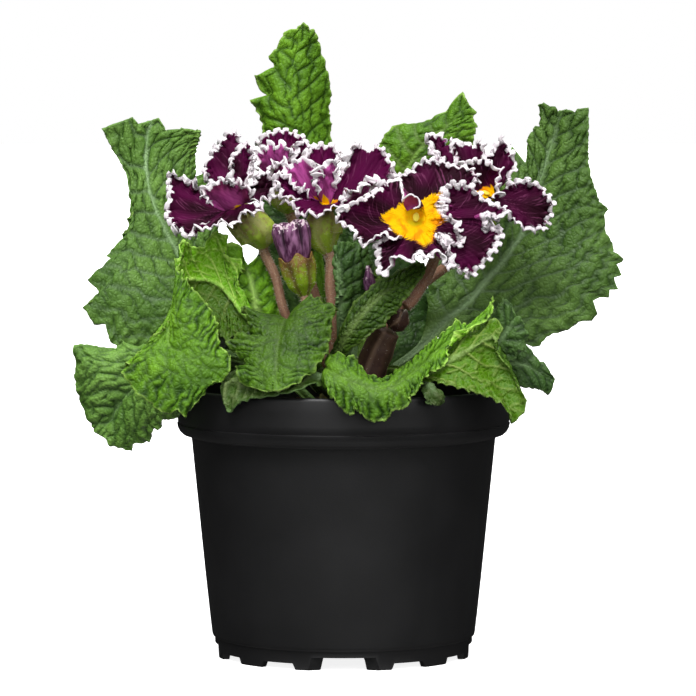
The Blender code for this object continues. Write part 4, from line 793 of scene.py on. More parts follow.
# %% [markdown]
# The ribs give a smooth grid of points: a row for every step along the midrib, from the foot of the
# stalk to the tip, and cells outward from the midrib to both edges. The stalk is the first rows of
# the same grid, because on the plant it is the midrib itself, bare of blade. Later steps need to know
# much about each point, so the grid carries it along: its side, its share of the way out, its row's
# width, and its tooth number, which counts the side veins from 0 at the blade's foot.

# %% Leaf grid
STALK_STEP = 1.0
STALK_HALF = 1.5
TOOTH_PITCH = 7.5
FEWEST_TEETH = 5


def leaf_lines(leaf):
    """The left edge, midrib and right edge from the foot of the stalk, and where the blade starts."""
    ribs = np.array([all_seen(rib) for rib in leaf.ribs])
    stalk = all_seen(leaf.stalk)
    ahead = unit(ribs[0, 1] - stalk)
    across = unit(ribs[0, 2] - ribs[0, 0])
    reach = unit(across - ahead * (ahead @ across)[:, None]) * STALK_HALF
    left = np.vstack([stalk - reach, ribs[:, 0]])
    middle = np.vstack([stalk, ribs[:, 1]])
    right = np.vstack([stalk + reach, ribs[:, 2]])
    return left, middle, right, len(stalk)


def leaf_grid(leaf):
    """The smooth surface of a leaf, row by row, with what the later steps need to know of it."""
    left_line, middle_line, right_line, stalk_count = leaf_lines(leaf)
    blade_lines = [line[stalk_count:] for line in (left_line, middle_line, right_line)]
    g = SimpleNamespace(face=leaf.face, stalk_count=stalk_count)
    g.length = max(line_length(line) for line in blade_lines)
    g.teeth = max(round(g.length / TOOTH_PITCH), FEWEST_TEETH)
    step = leaf.grid

    start = stalk_count / (len(middle_line) - 1)
    stalk_length = line_length(middle_line[: stalk_count + 1])
    g.stalk_rows = math.ceil(stalk_length / STALK_STEP)
    number = np.linspace(0, g.teeth, math.ceil(g.length / step))
    places = start + (1 - start) * even_places(blade_lines[1], number / g.teeth)
    places = np.concatenate([np.linspace(0, start, g.stalk_rows, endpoint=False), places])
    number = np.concatenate([np.linspace(-3, 0, g.stalk_rows, endpoint=False), number])
    left, middle, right = (smooth_curve(line, places) for line in (left_line, middle_line, right_line))
    g.ahead = unit(np.gradient(middle, axis=0))
    g.up = unit(np.cross(right - left, g.ahead)) * g.face
    along = running_length(middle)
    along = along - along[g.stalk_rows]

    widest = max(np.linalg.norm(edge - middle, axis=1).max() for edge in (left, right))
    g.half_cells = math.ceil(widest / step)
    side = np.linspace(-1, 1, 2 * g.half_cells + 1)
    g.is_left = (side < 0)[None]
    g.phase = np.where(g.is_left, 0.0, 1.7)
    g.share = np.abs(side)[None]
    edges = np.where(g.is_left[..., None], left[:, None], right[:, None])
    g.width = np.linalg.norm(edges - middle[:, None], axis=2)
    g.outward = unit(edges - middle[:, None])
    g.x = side[None, :] * g.width
    g.y = along[:, None] + 0 * g.width
    g.number = np.broadcast_to(number[:, None], g.width.shape)
    g.on_blade = ramp(g.number, -0.2, 0.8)
    g.from_tip = g.teeth - g.number
    g.near_tip = ramp(-g.from_tip, -1.0, 0.0) ** 1.5
    g.left, g.right = left[g.stalk_rows :], right[g.stalk_rows :]

    puff = leaf.puff * g.width * 4 * g.share * (1 - g.share)
    surface = middle[:, None] + (edges - middle[:, None]) * g.share[..., None]
    g.surface = surface + g.up[:, None] * puff[..., None]
    return g


print("a leaf's grid is", COMMON_LEAF["grid"], "mm wide and its stalk", 2 * STALK_HALF, "mm")

# %% [markdown]
# Where the margin could be read closely, its own line of lobes, teeth and notches is used. The smooth
# edge has to be stretched onto that line without folding, so each traced point looks for a partner on
# the edge: the nearest one that also keeps the order and about the spacing of the points. The cheapest
# such chain of partners is found step by step, as a route planner finds the shortest way.

# %% Traced margins
SPACING_COST = 0.35
EDGE_PER_LINE = 0.8
NO_STEP = 0.2


def follow_outline(border, run):
    """How far each point of the border has to go, across and up, to lie on the run of traced points."""
    run = np.array(run, float)
    step = running_length(border)
    far = ((border[None] - run[:, None]) ** 2).sum(axis=2)
    change = step[:, None] - step[None, :]
    stuck = np.where(change < NO_STEP, 1e6, 0)
    cost = far[0].copy()
    back = []
    for k in range(1, len(run)):
        gap = np.linalg.norm(run[k] - run[k - 1])
        price = cost[None, :] + SPACING_COST * (change - EDGE_PER_LINE * gap) ** 2 + stuck
        back.append(price.argmin(axis=1))
        cost = price.min(axis=1) + far[k]
    at = [int(cost.argmin())]
    for choice in back[::-1]:
        at.append(int(choice[at[-1]]))
    at = np.array(at[::-1])
    inside = (step >= step[at[0]]) & (step <= step[at[-1]])
    traced = np.stack([np.interp(step, step[at], run[:, k]) for k in (0, 1)], axis=1)
    return np.where(inside[:, None], traced - border, 0.0), inside


def traced_margin(leaf, g):
    """The shift onto the traced margin of the left side, tip and right side, and where each is traced."""
    rows, cells = len(g.left), g.surface.shape[1]
    line = np.concatenate([g.left, g.surface[-1, 1:-1], g.right[::-1]])
    border = seen_from_camera(line)
    shift = np.zeros_like(border)
    known = np.zeros(len(border), bool)
    for run in leaf.outline:
        run_shift, inside = follow_outline(border, run)
        shift[inside] = run_shift[inside]
        known |= inside
    nearer = (1 + line[:, 1] / EYE_DISTANCE)[:, None]
    solid = np.concatenate([shift[:, :1], 0 * shift[:, :1], shift[:, 1:]], axis=1) * nearer
    tip = slice(rows - 1, rows - 1 + cells)
    return solid[:rows], solid[tip], solid[-rows:][::-1], known[:rows], known[tip], known[-rows:][::-1]


def stretch_to_margin(leaf, g):
    """Pulls the surface out to the traced margin, and notes how much of each point is still a guess."""
    left_shift, tip_shift, right_shift, left_known, tip_known, right_known = traced_margin(leaf, g)
    stalk = np.zeros((g.stalk_rows, 3))
    side_shift = np.where(
        g.is_left[..., None],
        np.concatenate([stalk, left_shift])[:, None],
        np.concatenate([stalk, right_shift])[:, None],
    )
    known = np.where(
        g.is_left,
        np.concatenate([stalk[:, 0], left_known])[:, None],
        np.concatenate([stalk[:, 0], right_known])[:, None],
    )
    eased = side_shift * g.share[..., None] ** 2.5
    g.surface = g.surface + eased + g.near_tip[..., None] * (tip_shift[None] - eased[-1:])
    g.guess = 1.0 - known
    g.tip_guess = 1 - tip_known[None]


print("leaves with a traced margin:", sum("outline" in leaf for leaf in LEAVES.values()))

# %% [markdown]
# Elsewhere the margin follows from how a primrose leaf grows. A blunt tooth ends each side vein, with
# smaller teeth between, and the margin waves up and down, because it grew more than the blade behind
# it. Each is a wave along the margin that fades inward. The waves are uneven in pitch and reach, but
# fixed by the place and the leaf's seed, so they come out the same each time.

# %% Teeth and frill
TOOTH = 1.7
SMALL_TOOTH = 0.75
FINE_TOOTH = 0.18
LEAF_WAVE = 0.9
CURL_PITCH = 4.6


def hump(share, lean=1.0, point=1.5):
    """A bump from 0 up to 1 and back as share goes from 0 to 1."""
    return 1 - np.abs(2 * np.mod(share, 1.0) ** lean - 1) ** point


def grow_teeth(leaf, g, seed):
    """Pushes the margin out into teeth and up and down into a frill."""
    number, phase = g.number, g.phase
    index = g.stalk_count + np.floor(number)
    within = number - np.floor(number)
    reach = TOOTH * (0.8 + 0.45 * np.sin(1.9 * index + phase))
    toothed = -0.3 * TOOTH + (reach + 0.3 * TOOTH) * hump(within, 1.25, 1.3)
    small_number = number * 3.1 + 0.4 * np.sin(2.3 * number + phase)
    uneven = 0.5 + scatter(np.floor(small_number), index, seed)
    small = SMALL_TOOTH * hump(small_number, 1.5, 1.2) * uneven
    fine = FINE_TOOTH * np.sin(math.tau * (number * 9.7 + phase))
    wave = LEAF_WAVE * np.sin(2.1 * index + phase) * np.sin(math.pi * within)
    g.curl_phase = number * TOOTH_PITCH / CURL_PITCH + phase + 0.16 * ripple(number * 7, phase, 9.0, seed)
    curl = leaf.frill * np.sin(math.tau * g.curl_phase)

    pull = g.share**4 * (np.clip(g.width / 12, 0, 1) * g.on_blade)
    push = pull * (g.guess * (toothed + small) + 0.35 * (1 - g.guess) * small + fine)
    g.surface = g.surface + g.outward * push[..., None]
    g.surface = g.surface + g.up[:, None] * (pull * (g.guess * wave + curl))[..., None]

    tip_pull = g.near_tip * min(g.width[-1].max() / 8, 1.0) * g.tip_guess
    tip_teeth = 1.3 * hump(g.x / 6.1 + 0.2, 1.0, 1.3) + 0.6 * hump(g.x / 2.3, 1.0, 1.3) - 0.8
    g.surface = g.surface + g.ahead[:, None] * (tip_pull * tip_teeth)[..., None]


print("teeth every", TOOTH_PITCH, "mm, up to", TOOTH * 1.25, "mm long")

# %% [markdown]
# Side veins leave the midrib every 6 to 9 mm and bend towards the tip. Rungs between them divide the
# strips into cells, and each cell bulges up like a cushion, because the blade grew more than its
# veins did. So each point asks how far it is from the nearest vein and the nearest rung, and rises
# with that distance. The midrib is a groove, and pleats run in from the margin of the crisper leaves.

# %% Veins and domed cells
VEIN_PITCH = (4.6, 8.0)
VEIN_SLOPE = 0.7
VEIN_SQUARE = 0.82
CELL_SIDE = 2.1


def rung_distance(x, strips, cell, seed):
    """The distance in mm to the nearest rung of a ladder of uneven cells, one ladder in each strip."""
    strip = np.floor(strips)
    slant = (scatter(strip, strip + 3, seed) - 0.5) * 1.3
    along = x / cell + slant * (strips - strip - 0.5) + 0.5 * scatter(strip, 7, seed)
    nearest = np.full(x.shape, 1e9)
    for step in (-1, 0, 1):
        number = np.floor(along) + step
        place = number + 0.5 + 0.55 * (scatter(number, strip, seed) - 0.5)
        nearest = np.minimum(nearest, np.abs(along - place))
    return nearest * cell


def find_veins(leaf, g, seed):
    """Notes how far each point is from its nearest side vein and rung, and how high it stands as a dome."""
    x, y = g.x, g.y
    spacing = leaf.veins or float(np.clip(g.length / 9, *VEIN_PITCH))
    smaller = min(leaf.cell / COMMON_LEAF["cell"], 1)
    row_step = np.linalg.norm(np.gradient(g.surface, axis=0), axis=2)
    middle_step = np.maximum(row_step[:, g.half_cells : g.half_cells + 1], 1e-3)
    g.stretch = np.clip(row_step / middle_step, 0.15, 1.3)
    slope = VEIN_SLOPE * leaf.slope
    flow = y - slope * np.abs(x) * (0.35 + 0.65 * g.stretch) - 0.004 * x * x
    flow = flow + 1.3 * ripple(x, y, 24.0, seed + 1) + 0.5 * ripple(x, y, 8.0, seed + 7)
    strips = flow / spacing + np.where(g.is_left, 0.0, 0.45)
    g.lateral = np.abs(strips - np.round(strips)) * spacing * VEIN_SQUARE
    wobble = np.abs(x) + 0.7 * ripple(x, y, 6.0, seed + 8) + np.where(g.is_left, 0.0, 41.3)
    rung = rung_distance(wobble, strips + 0.5, leaf.cell, seed)
    half_rung = rung_distance(wobble + 1.9, 2 * strips, leaf.cell * 0.9, seed + 5)
    g.border = np.minimum(rung, half_rung + 0.8)
    nearest = np.minimum(g.lateral, g.border)
    g.dome = 1 - (1 - np.clip(nearest / (CELL_SIDE * smaller), 0, 1)) ** 2.2


def raise_cells(leaf, g, seed):
    """Raises the domes and sinks the midrib's groove and the pleats."""
    x, y, number, phase = g.x, g.y, g.number, g.phase
    rib_radius = np.interp(g.y[:, 0], [-30, 0, g.length], [1.5, 1.25, 0.3])[:, None]
    g.rib_radius = rib_radius * leaf.rib_size
    g.groove = np.exp(-((x / (1.1 * g.rib_radius)) ** 2))
    crinkle = leaf.crinkle * (0.75 + 0.35 * ramp(y / g.length, 0.1, 0.7))
    crinkle = crinkle * (1 - leaf.calm * (1 - ramp(y / g.length, 0.3, 0.45)))
    g.outer = ramp(g.share, 0.2, 0.7)
    g.pleated = min(leaf.pleats, 1.0)
    crinkle = crinkle * (1 - 0.7 * g.pleated * g.outer)
    g.fade = g.on_blade * (1 - 0.4 * g.share**6)
    g.pleat = np.abs(np.mod(g.curl_phase * 2.0 + 0.35 * ripple(x, y, 5.0, seed + 11), 1.0) - 0.5) * 2
    deep = np.clip(0.75 + 0.6 * ripple(number * 7, phase, 7.0, seed + 12), 0.2, 1.4)
    g.pleats = leaf.pleats * deep * g.outer * (1 - g.pleat) ** 2
    lift = crinkle * g.fade * (g.dome - 0.6) * (1 - g.groove) - g.pleats * g.on_blade
    lift = lift - 0.5 * g.groove * g.rib_radius
    lift = lift + 0.7 * g.on_blade * ripple(x, y, 21.0, seed + 2)
    g.surface = g.surface + grid_normals(g.surface) * lift[..., None] * g.face


print("cells", COMMON_LEAF["cell"], "mm long rise by up to", COMMON_LEAF["crinkle"] * 1.1, "mm")

# %% [markdown]
# The finish needs to know where things run, so each point gets its numbers: how near a vein, a rung
# or the midrib is, how far the margin, how deep the hollow, which gets painted shade, and how bright
# this part of the leaf is. That brightness is painted light on the domes' tops and the pleats' crests,
# painted shade and light on the two halves near the stalk, and a share for each leaf that is partly
# its own tone and partly painted light and shade.

# %% What the finish is told
def leaf_values(leaf, g):
    along = g.y / g.length
    width = leaf.vein_width
    midrib = g.groove ** (1 / leaf.rib_wide ** 2) * 1.2
    rib_fade = 1 - ramp(along, leaf.rib_end - 0.3, leaf.rib_end)
    to_side = (1 - g.share) * g.width * np.clip(g.stretch, 0.3, 1)
    from_edge = np.minimum(to_side, g.from_tip * TOOTH_PITCH)
    # Painted light and shade: lee darkens and lit lightens the two halves near the stalk, and below, dome
    # tops and pleat crests are made lighter than the rest.
    in_shade = np.where(g.is_left, leaf.lee, -leaf.lit)
    in_shade = in_shade * (1 - ramp(along, 0.35, 0.5))
    bright = leaf.bright * (1 + leaf.tip_bright * ramp(along, 0.3, 0.9))
    bright = bright * (0.86 + 0.24 * g.dome * g.on_blade)
    bright = bright * (1 + 0.5 * g.pleated * g.outer * (g.pleat - 0.45))
    # hollow is painted shade, deepest between the domes and in the pleats.
    hollow = (1 - g.dome) ** 1.5 * g.fade * leaf.hollow + 1.4 * g.pleats
    return {
        "vein": np.exp(-((g.lateral / (0.42 * width)) ** 2)) * (1 - 0.5 * g.share) * g.on_blade,
        "net": np.exp(-((g.border / (0.4 * width)) ** 2)) * g.on_blade,
        "pale": leaf.pale * (1 - ramp(along, 0.45, 0.75)),
        "midrib": np.clip(midrib, 0, 1) * rib_fade * leaf.rib,
        "margin": from_edge + 5 * (1 - g.on_blade),
        "hollow": np.clip(hollow, 0, 1),
        "bright": bright * (1 - in_shade),
    }


# %% [markdown]
# A leaf blade is about half a millimetre thick. On the lower face midrib, side veins and net stand
# out as ribs, so that face is pushed further from the surface where they run.

# %% The leaves
LEAF_HALF = 0.25


def make_leaf_part(leaf, seed):
    g = leaf_grid(leaf)
    stretch_to_margin(leaf, g)
    grow_teeth(leaf, g, seed)
    find_veins(leaf, g, seed)
    raise_cells(leaf, g, seed)
    half_width = 0.5 * leaf.vein_width
    side_rib = 0.5 * g.on_blade * np.exp(-((g.lateral / half_width) ** 2)) * (1.1 - g.share)
    net_rib = 0.22 * g.on_blade * np.exp(-((g.border / 0.35) ** 2))
    thin = LEAF_HALF * (1 - 0.35 * g.share**6)
    smooth = thin * np.ones_like(g.x)
    ribbed = thin + g.groove * g.rib_radius * 1.1 + side_rib + net_rib
    if g.face > 0:
        return blade(g.surface, smooth, ribbed, leaf_values(leaf, g))
    points, faces, values = blade(g.surface, ribbed, smooth, leaf_values(leaf, g))
    values["underside"] = 1 - values["underside"]
    return points, faces, values


for number, (name, own) in enumerate(LEAVES.items()):
    leaf = SimpleNamespace(**(COMMON_LEAF | own))
    part = make_leaf_part(leaf, number + 1)
    piece_from(name + "_fine", [part], LEAF_FINISHES[leaf.finish], LEAF_SLOTS[leaf.finish], name)

# %% [markdown]
# These petals are velvet: tiny domed cells on their face trap the light, so the wine red looks deep
# and nearly without gloss. Fine paler lines fan out from the throat, and the back is a lighter
# magenta with darker veins. Both end in a crisp white edge that is a little uneven, and round the
# throat the face turns suddenly to a golden star. The mesh says how far a point is from the edge and
# from the star's outline, and the material only roughens those borders.

# %% Petal finish
WHITE_EDGE = 1.3
LINE_PITCH = 0.9
MOTTLES_PER_METRE = 240.0
WARM_PATCHES_PER_METRE = 300.0
THROAT_GRAINS_PER_METRE = 700.0


def petal_finish():
    # Velvet gives the eye depth, not shine: hardly any gloss. Face and back run from a dark colour to a
    # lighter one by glow, which is painted light with some uneven tone. The real veins are 0.3 mm apart,
    # too fine to show, so they are drawn at 0.9 mm.
    name = "velvet petal, wine red with a white edge"
    made, add, shader = new_finish(name, Roughness=0.65, Specular_IOR_Level=0.06)
    place = add("TexCoord").outputs["Object"]
    edge, across, outward, star, lower, petal_painted_light = [
        add("Attribute", attribute_name=given).outputs["Fac"]
        for given in ("edge", "across", "outward", "star", "underside", "glow")
    ]
    fan = add("CombineXYZ", {"X": across, "Y": outward})
    drawn = {"Vector": fan, "Scale": 1.0 / LINE_PITCH, "Detail": 2.0, "Roughness": 0.6}
    lines = add("TexNoise", drawn)
    streak = add("MapRange", {0: lines, 1: 0.45, 2: 0.68})
    pale_line = add("MapRange", {0: lines, 1: 0.57, 2: 0.7, 4: 0.5})
    mottle = add("TexNoise", {"Vector": place, "Scale": MOTTLES_PER_METRE, "Detail": 2})
    # Painted light: glow turns face and back from their dark colour to their lighter one.
    face = add("Mix", {0: petal_painted_light, 6: "#230413", 7: "#52063a"})
    face = add("Mix", {0: pale_line, 6: face, 7: "#86426a"})
    darker = add("Math", {0: streak, 1: 0.6})
    back = add("Mix", {0: petal_painted_light, 6: "#70264c", 7: "#c257a4"})
    back = add("Mix", {0: darker, 6: back, 7: "#6a184e"})
    body = add("Mix", {0: lower, 6: face, 7: back})

    uneven = add("MapRange", {0: mottle, 1: 0.3, 2: 0.7, 3: -0.4, 4: 0.4})
    feather = add("MapRange", {0: streak, 3: -0.15, 4: 0.35})
    from_edge = add("Math", {0: edge, 1: uneven}, operation="ADD")
    from_edge = add("Math", {0: from_edge, 1: feather}, operation="SUBTRACT")
    end, start = WHITE_EDGE - 0.2, WHITE_EDGE + 0.25
    white = add("MapRange", {0: from_edge, 1: end, 2: start, 3: 1, 4: 0})
    pearl = add("Mix", {0: mottle, 6: "#ffffff", 7: "#f4e4ed"})
    body = add("Mix", {0: white, 6: body, 7: pearl})

    warm = add("TexNoise", {"Vector": place, "Scale": WARM_PATCHES_PER_METRE, "Detail": 1})
    orange = add("MapRange", {0: warm, 1: 0.5, 2: 0.68, 4: 0.9})
    golden = add("Mix", {0: orange, 6: "#f6bc00", 7: "#ee8c06"})
    ragged = add("MapRange", {0: lines, 1: 0.3, 2: 0.7, 3: -0.12, 4: 0.12})
    star_edge = add("Math", {0: star, 1: ragged}, operation="ADD")
    on_star = add("MapRange", {0: star_edge, 1: 0.95, 2: 1.05, 3: 1, 4: 0})
    body = add("Mix", {0: on_star, 6: body, 7: golden})
    bump = add("Bump", {"Height": lines, "Distance": 0.12 * MM, "Strength": 0.6})
    fill(shader, {"Base Color": body, "Normal": bump})
    return made


def eye_finish():
    # The throat is as matt as the petal but fleshier: a warm even gold that turns greenish inside.
    made, add, shader = new_finish("golden petal throat", Roughness=0.65, Specular_IOR_Level=0.06)
    place = add("TexCoord").outputs["Object"]
    depth, pin = [
        add("Attribute", attribute_name=given).outputs["Fac"] for given in ("depth", "pin")
    ]
    grain = add("TexNoise", {"Vector": place, "Scale": THROAT_GRAINS_PER_METRE, "Detail": 2})
    streak = add("MapRange", {0: grain, 1: 0.4, 2: 0.65})
    gold = add("Mix", {0: streak, 6: "#f8c400", 7: "#f4a400"})
    # Partly the throat's own greener tone and partly painted shade: depth darkens its lower side.
    gold = add("Mix", {0: depth, 6: gold, 7: "#ccb410"})
    gold = add("Mix", {0: pin, 6: gold, 7: "#ffec5a"})
    fill(shader, {"Base Color": gold})
    return made


PETAL_FINISH = petal_finish()
EYE_FINISH = eye_finish()
print("petal finishes:", PETAL_FINISH.name, "and", EYE_FINISH.name)

# %% [markdown]
# Where the blooms are. The hub is where the petals meet, the axis is the way the bloom faces, and
# disc is the radius within which the petals lie flat. Each petal is its outline as seen from the
# camera, with depth. The large bloom faces the camera, so its golden star is drawn too, by its tips
# and notches about the hub. Elsewhere eye is the star's size. The rest has a common value, and tells
# blooms, or single petals by number, from each other:
# - glow is how much painted light, with some uneven tone, lightens all petals, and flush adds
#   painted light to one petal, and painted shade where it is negative
# - lace tears a petal's edge finer, and quiet calms it from one place to another, where it leaves
#   a share of the waves and a share of the white
# - turned lists petals whose face is given the back's lighter colours as painted
#   light, star_scale moves the star on one petal, neck and belly place the calyx below the petals and
#   swing it sideways.

# %% The common bloom
COMMON_BLOOM = dict(
    star=None, glow=0.25, flush={}, lace={}, quiet={}, turned=[], star_scale={}, neck=2.4, belly=0,
)
print("words that a bloom may leave out:", ", ".join(COMMON_BLOOM))

# %% The bloom in front
BLOOMS = {}
BLOOMS["bloom_front"] = dict(
    hub=(22.3, 137.2, -28.5), axis=(-0.10, -0.89, 0.45), disc=7.5, eye=7.8,
    star=[
        (-10.5, 0.7), (-8.1, -2), (-6.1, -4.1), (-2.8, -6.1), (0, -6.6), (2.8, -8.5), (5.9, -7),
        (6.2, -4.6), (6.8, -2.7), (9.5, -0.3), (7.8, 1.6), (6.8, 3.1), (6.6, 5), (8.3, 7.9),
        (4.9, 7.4), (3.5, 6.2), (0.8, 5), (-1.3, 4.6), (-3, 5.7), (-5.7, 3.4), (-7.8, 2.6),
    ],
    petals=[
        [(18.4, 142.5, -27), (18.2, 147, -24.5), (18, 149.3, -22), (14.8, 149.6, -23.5),
         (11.7, 148.8, -25), (10.4, 146.8, -26.5), (6.8, 144.6, -28.5), (2.2, 142.5, -31),
         (-1.9, 139.6, -33), (-0.8, 136.4, -34), (2.2, 133.2, -35.5), (3.4, 130.4, -36.5),
         (6.2, 128.8, -37), (8.9, 131.6, -36.5), (12.5, 132.7, -36), (15.5, 130.2, -36),
         (17.8, 131.4, -35)],
        [(15.4, 143.5, -25.5), (15.4, 147.4, -22.5), (17.6, 150.9, -20.2), (21, 153.4, -19),
         (24, 155.3, -17.5), (28.1, 155.6, -17), (32.3, 155.2, -16.8), (36.5, 154.4, -16.5),
         (40, 152.6, -17), (42.8, 149.6, -18.5), (40.5, 146.5, -20.5), (36, 142.5, -24)],
        [(31.4, 139.2, -27.5), (31.4, 143.3, -26.5), (32.4, 148.2, -26), (36.1, 149, -26),
         (39.6, 148.4, -26), (43, 146, -26.5), (46, 143.4, -27.5), (49.4, 142, -28), (52, 139.2, -29.5),
         (49.6, 137.2, -30.5), (45, 137.6, -30), (46, 135, -30.2), (50.4, 133.6, -30),
         (49.2, 128.8, -30.5), (47, 125.4, -31.5), (44.4, 122.4, -32.5), (40.2, 118.7, -34),
         (36.6, 120.3, -34), (33, 123, -33.5), (30, 128, -32)],
        [(31.5, 138.4, -30.5), (34.4, 138.2, -32.5), (36.6, 136, -33.5), (37.6, 133.4, -34),
         (36.6, 131.4, -34.3), (38.2, 129.4, -34.6), (36, 127.8, -34.6), (32.5, 130, -33)],
        [(15, 132.2, -32.5), (9.4, 129.6, -32.5), (10.1, 125, -34), (10.5, 120.4, -36.5),
         (13, 119.4, -37.5), (14.5, 122.1, -38), (15.7, 124.6, -38.5), (18.6, 124, -39),
         (21.6, 123.2, -39.5), (23, 126.6, -39), (27.2, 124.8, -39), (29.4, 126.4, -38.5),
         (31.3, 124.6, -38), (32.6, 121.4, -38), (35.2, 122.6, -37), (34.4, 127, -35.5), (31, 131, -34)],
        [(18.6, 143.6, -33), (20.4, 145, -33.4), (22.8, 144.2, -33.6), (23.6, 142, -33.6),
         (22, 140.2, -33.2)],
    ],
    lace={2: 0.2, 3: 0.3, 4: 0.2}, glow=0.3, star_scale={5: 1.9}, flush={5: 0.5, 2: 0.1, 1: -0.3, 0: -0.1},
    turned=[5],
    quiet={
        0: [(-0.1, 0.2, 0.2, 0.5), (0.78, 1.1, 0.35, 1)],
        1: [(-0.1, 0.12, 0.2, 0.4)],
        4: [(0.25, 0.9, 0.5, 1)],
        5: [(-0.1, 1.1, 0.15, 0.5)],
    },
    calyx_foot=(28, 126.5, -13), calyx_radius=5,
    stalk=[(19.6, 109.6, -24), (22.2, 112.5, -22.5), (25.9, 118.6, -17.2)],
    stalk_radius=1.7,
)
print("blooms so far:", len(BLOOMS))

# %% The other blooms
BLOOMS["bloom_right"] = dict(
    hub=(44.5, 145, -4), axis=(0.22, -0.35, 0.90), disc=5.5, eye=2.6,
    petals=[
        [(31.5, 156, 3), (26.5, 160, 5), (26, 164, 7), (31, 163.2, 9), (34.2, 159, 8)],
        [(33, 158.5, 6), (34, 162.5, 9), (39, 161, 10), (44, 161.5, 10), (45.5, 157, 8)],
        [(44.5, 156.5, 3), (47, 160, 6), (50, 162.8, 7), (53.5, 158, 6), (54.6, 152.5, 4)],
        [(52.5, 149.2, -1.5), (57.5, 150, -1), (63, 147, -1), (66.3, 141.2, -3), (63.5, 133.5, -6),
         (58.5, 133.5, -9), (52.5, 136.5, -11)],
        [(36.5, 154.5, -3), (41.5, 156.5, -2), (47, 155.2, -4), (49.2, 149.5, -8), (48, 143.5, -13)],
    ],
    calyx_foot=(43, 131, 2.5), calyx_radius=4.8,
    stalk=[(3.4, 86.9, 1.6), (10, 100, 6), (22, 114, 6), (34, 123.5, 4.5)],
    stalk_radius=1.6,
)
BLOOMS["bloom_left"] = dict(
    hub=(-34, 141.3, -8.5), axis=(-0.38, -0.30, 0.87), disc=5.5, glow=0.15,
    flush={0: 0.4, 1: 0.3, 3: 0.25}, eye=2.4,
    petals=[
        [(-42.8, 147.5, 2), (-44.3, 153, 6), (-41.5, 158.5, 9), (-37.5, 164, 11), (-33, 164.3, 12),
         (-30.5, 158.8, 10)],
        [(-36.3, 150, -1.5), (-35.8, 155.5, 1.5), (-33, 160, 4.5), (-29, 161.5, 7.5), (-27.8, 156.5, 6),
         (-28.8, 150, 1)],
        [(-45, 143.8, -15), (-44, 147, -15.5), (-39.9, 149.4, -15.5), (-35.7, 149.9, -15),
         (-31.5, 148.3, -14.5), (-27.5, 146, -13.5)],
        [(-47.5, 149.5, -5), (-54.5, 152.3, -3), (-55.3, 146, -6), (-56, 139.5, -10),
         (-54.5, 134.3, -13), (-49.5, 132.2, -15), (-45.5, 132.8, -16.5)],
        [(-49.5, 131.5, -22), (-46.5, 133.6, -23.5), (-41.5, 134.8, -24), (-36.5, 135.6, -23.5),
         (-30.5, 138.2, -21.5), (-24.2, 141.2, -17)],
        [(-28.5, 146, -9), (-28, 150.8, -7.5), (-24, 152.3, -6.5), (-20.8, 148.6, -7.5),
         (-21.5, 144, -10), (-25.5, 142.6, -12)],
    ],
    calyx_foot=(-25.3, 128.1, -5.5), calyx_radius=6.1, belly=2, neck=3.4,
    stalk=[(-4.2, 86.4, -0.8), (-11, 95, -4.5), (-18.3, 107.3, -9), (-21.2, 118.5, -7.5)],
    stalk_radius=1.5,
)
BLOOMS["bloom_middle"] = dict(
    hub=(-4.8, 142.2, -6.5), axis=(0.22, -0.12, 0.97), disc=5, glow=0.85, eye=3.5,
    petals=[
        [(-20.3, 152.5, -9), (-18, 154.6, -9.5), (-13, 156.6, -10), (-9.3, 155, -11), (-8.2, 149, -12)],
        [(-8.8, 147.5, -14.5), (-8.6, 150.5, -14.5), (-5, 155.5, -13.5), (-2.2, 156.2, -13),
         (-1.6, 150, -13)],
        [(-13.5, 146.5, -13), (-16.5, 149.5, -12), (-20.8, 152.6, -11), (-21.6, 149, -12),
         (-20.4, 145.5, -13), (-18, 143, -14)],
        [(-19.5, 143.4, -12), (-16.2, 141.2, -14.5), (-13.2, 138.6, -16.5), (-7, 138.6, -18),
         (-1.5, 141.5, -18), (1.5, 144.8, -16)],
        [(-13, 157.6, 2), (-9.5, 160.6, 3.5), (-4, 160.8, 4), (0, 158, 3)],
        [(0.5, 156.5, -0.5), (3.5, 161.3, 1), (8, 159.8, 1.5), (12.2, 160, 1), (16.6, 152.5, -2),
         (13, 147.5, -6)],
        [(12.5, 149.8, -9.5), (8.5, 149.8, -12), (4.5, 146.3, -14), (1.5, 146.5, -14.5)],
    ],
    calyx_foot=(-4.6, 126.2, -7.5), calyx_radius=5.7, belly=-1.4, neck=3,
    stalk=[(0.2, 86.6, -1.9), (-2.6, 104, -8.8), (-4, 115, -9)],
    stalk_radius=1.8,
)
BLOOMS["bloom_back"] = dict(
    hub=(-19.3, 150.5, 9.5), axis=(0.05, -0.22, 0.97), disc=4.6, glow=0.8, eye=3.1,
    petals=[
        [(-27.5, 162.2, 14), (-23, 164.9, 16.5), (-17.5, 165.4, 18), (-12.5, 163.5, 17),
         (-10.6, 160, 15)],
        [(-28.8, 156.3, 0.8), (-26.3, 159.6, 0.8), (-21.4, 161.4, 1), (-17.2, 160.3, 1.5),
         (-15.4, 157.6, 1.5)],
        [(-15.6, 160.6, 8), (-12.6, 161.9, 9), (-8.2, 160, 9.5), (-7.4, 156.5, 8.5), (-10.5, 153.5, 6)],
        [(-24.5, 150.5, 4), (-23, 154.6, 0), (-18.5, 155.6, -2.5), (-15.8, 153.6, -1.5)],
    ],
    calyx_foot=(-16.8, 139, 11.5), calyx_radius=4.4,
    stalk=[(-1.6, 86.8, 2.2), (-6.5, 105, 7.5), (-12.5, 125, 11)],
    stalk_radius=1.5,
)
print("blooms:", ", ".join(BLOOMS))

# %% [markdown]
# A petal is drawn by its outline, from one side of its root round to the other. Every point of the
# outline is joined to the hub by a curve that first runs out flat and then bends to the rim, which
# gives the petal its bowl. Later petals lie a little higher, so they overlap without touching.

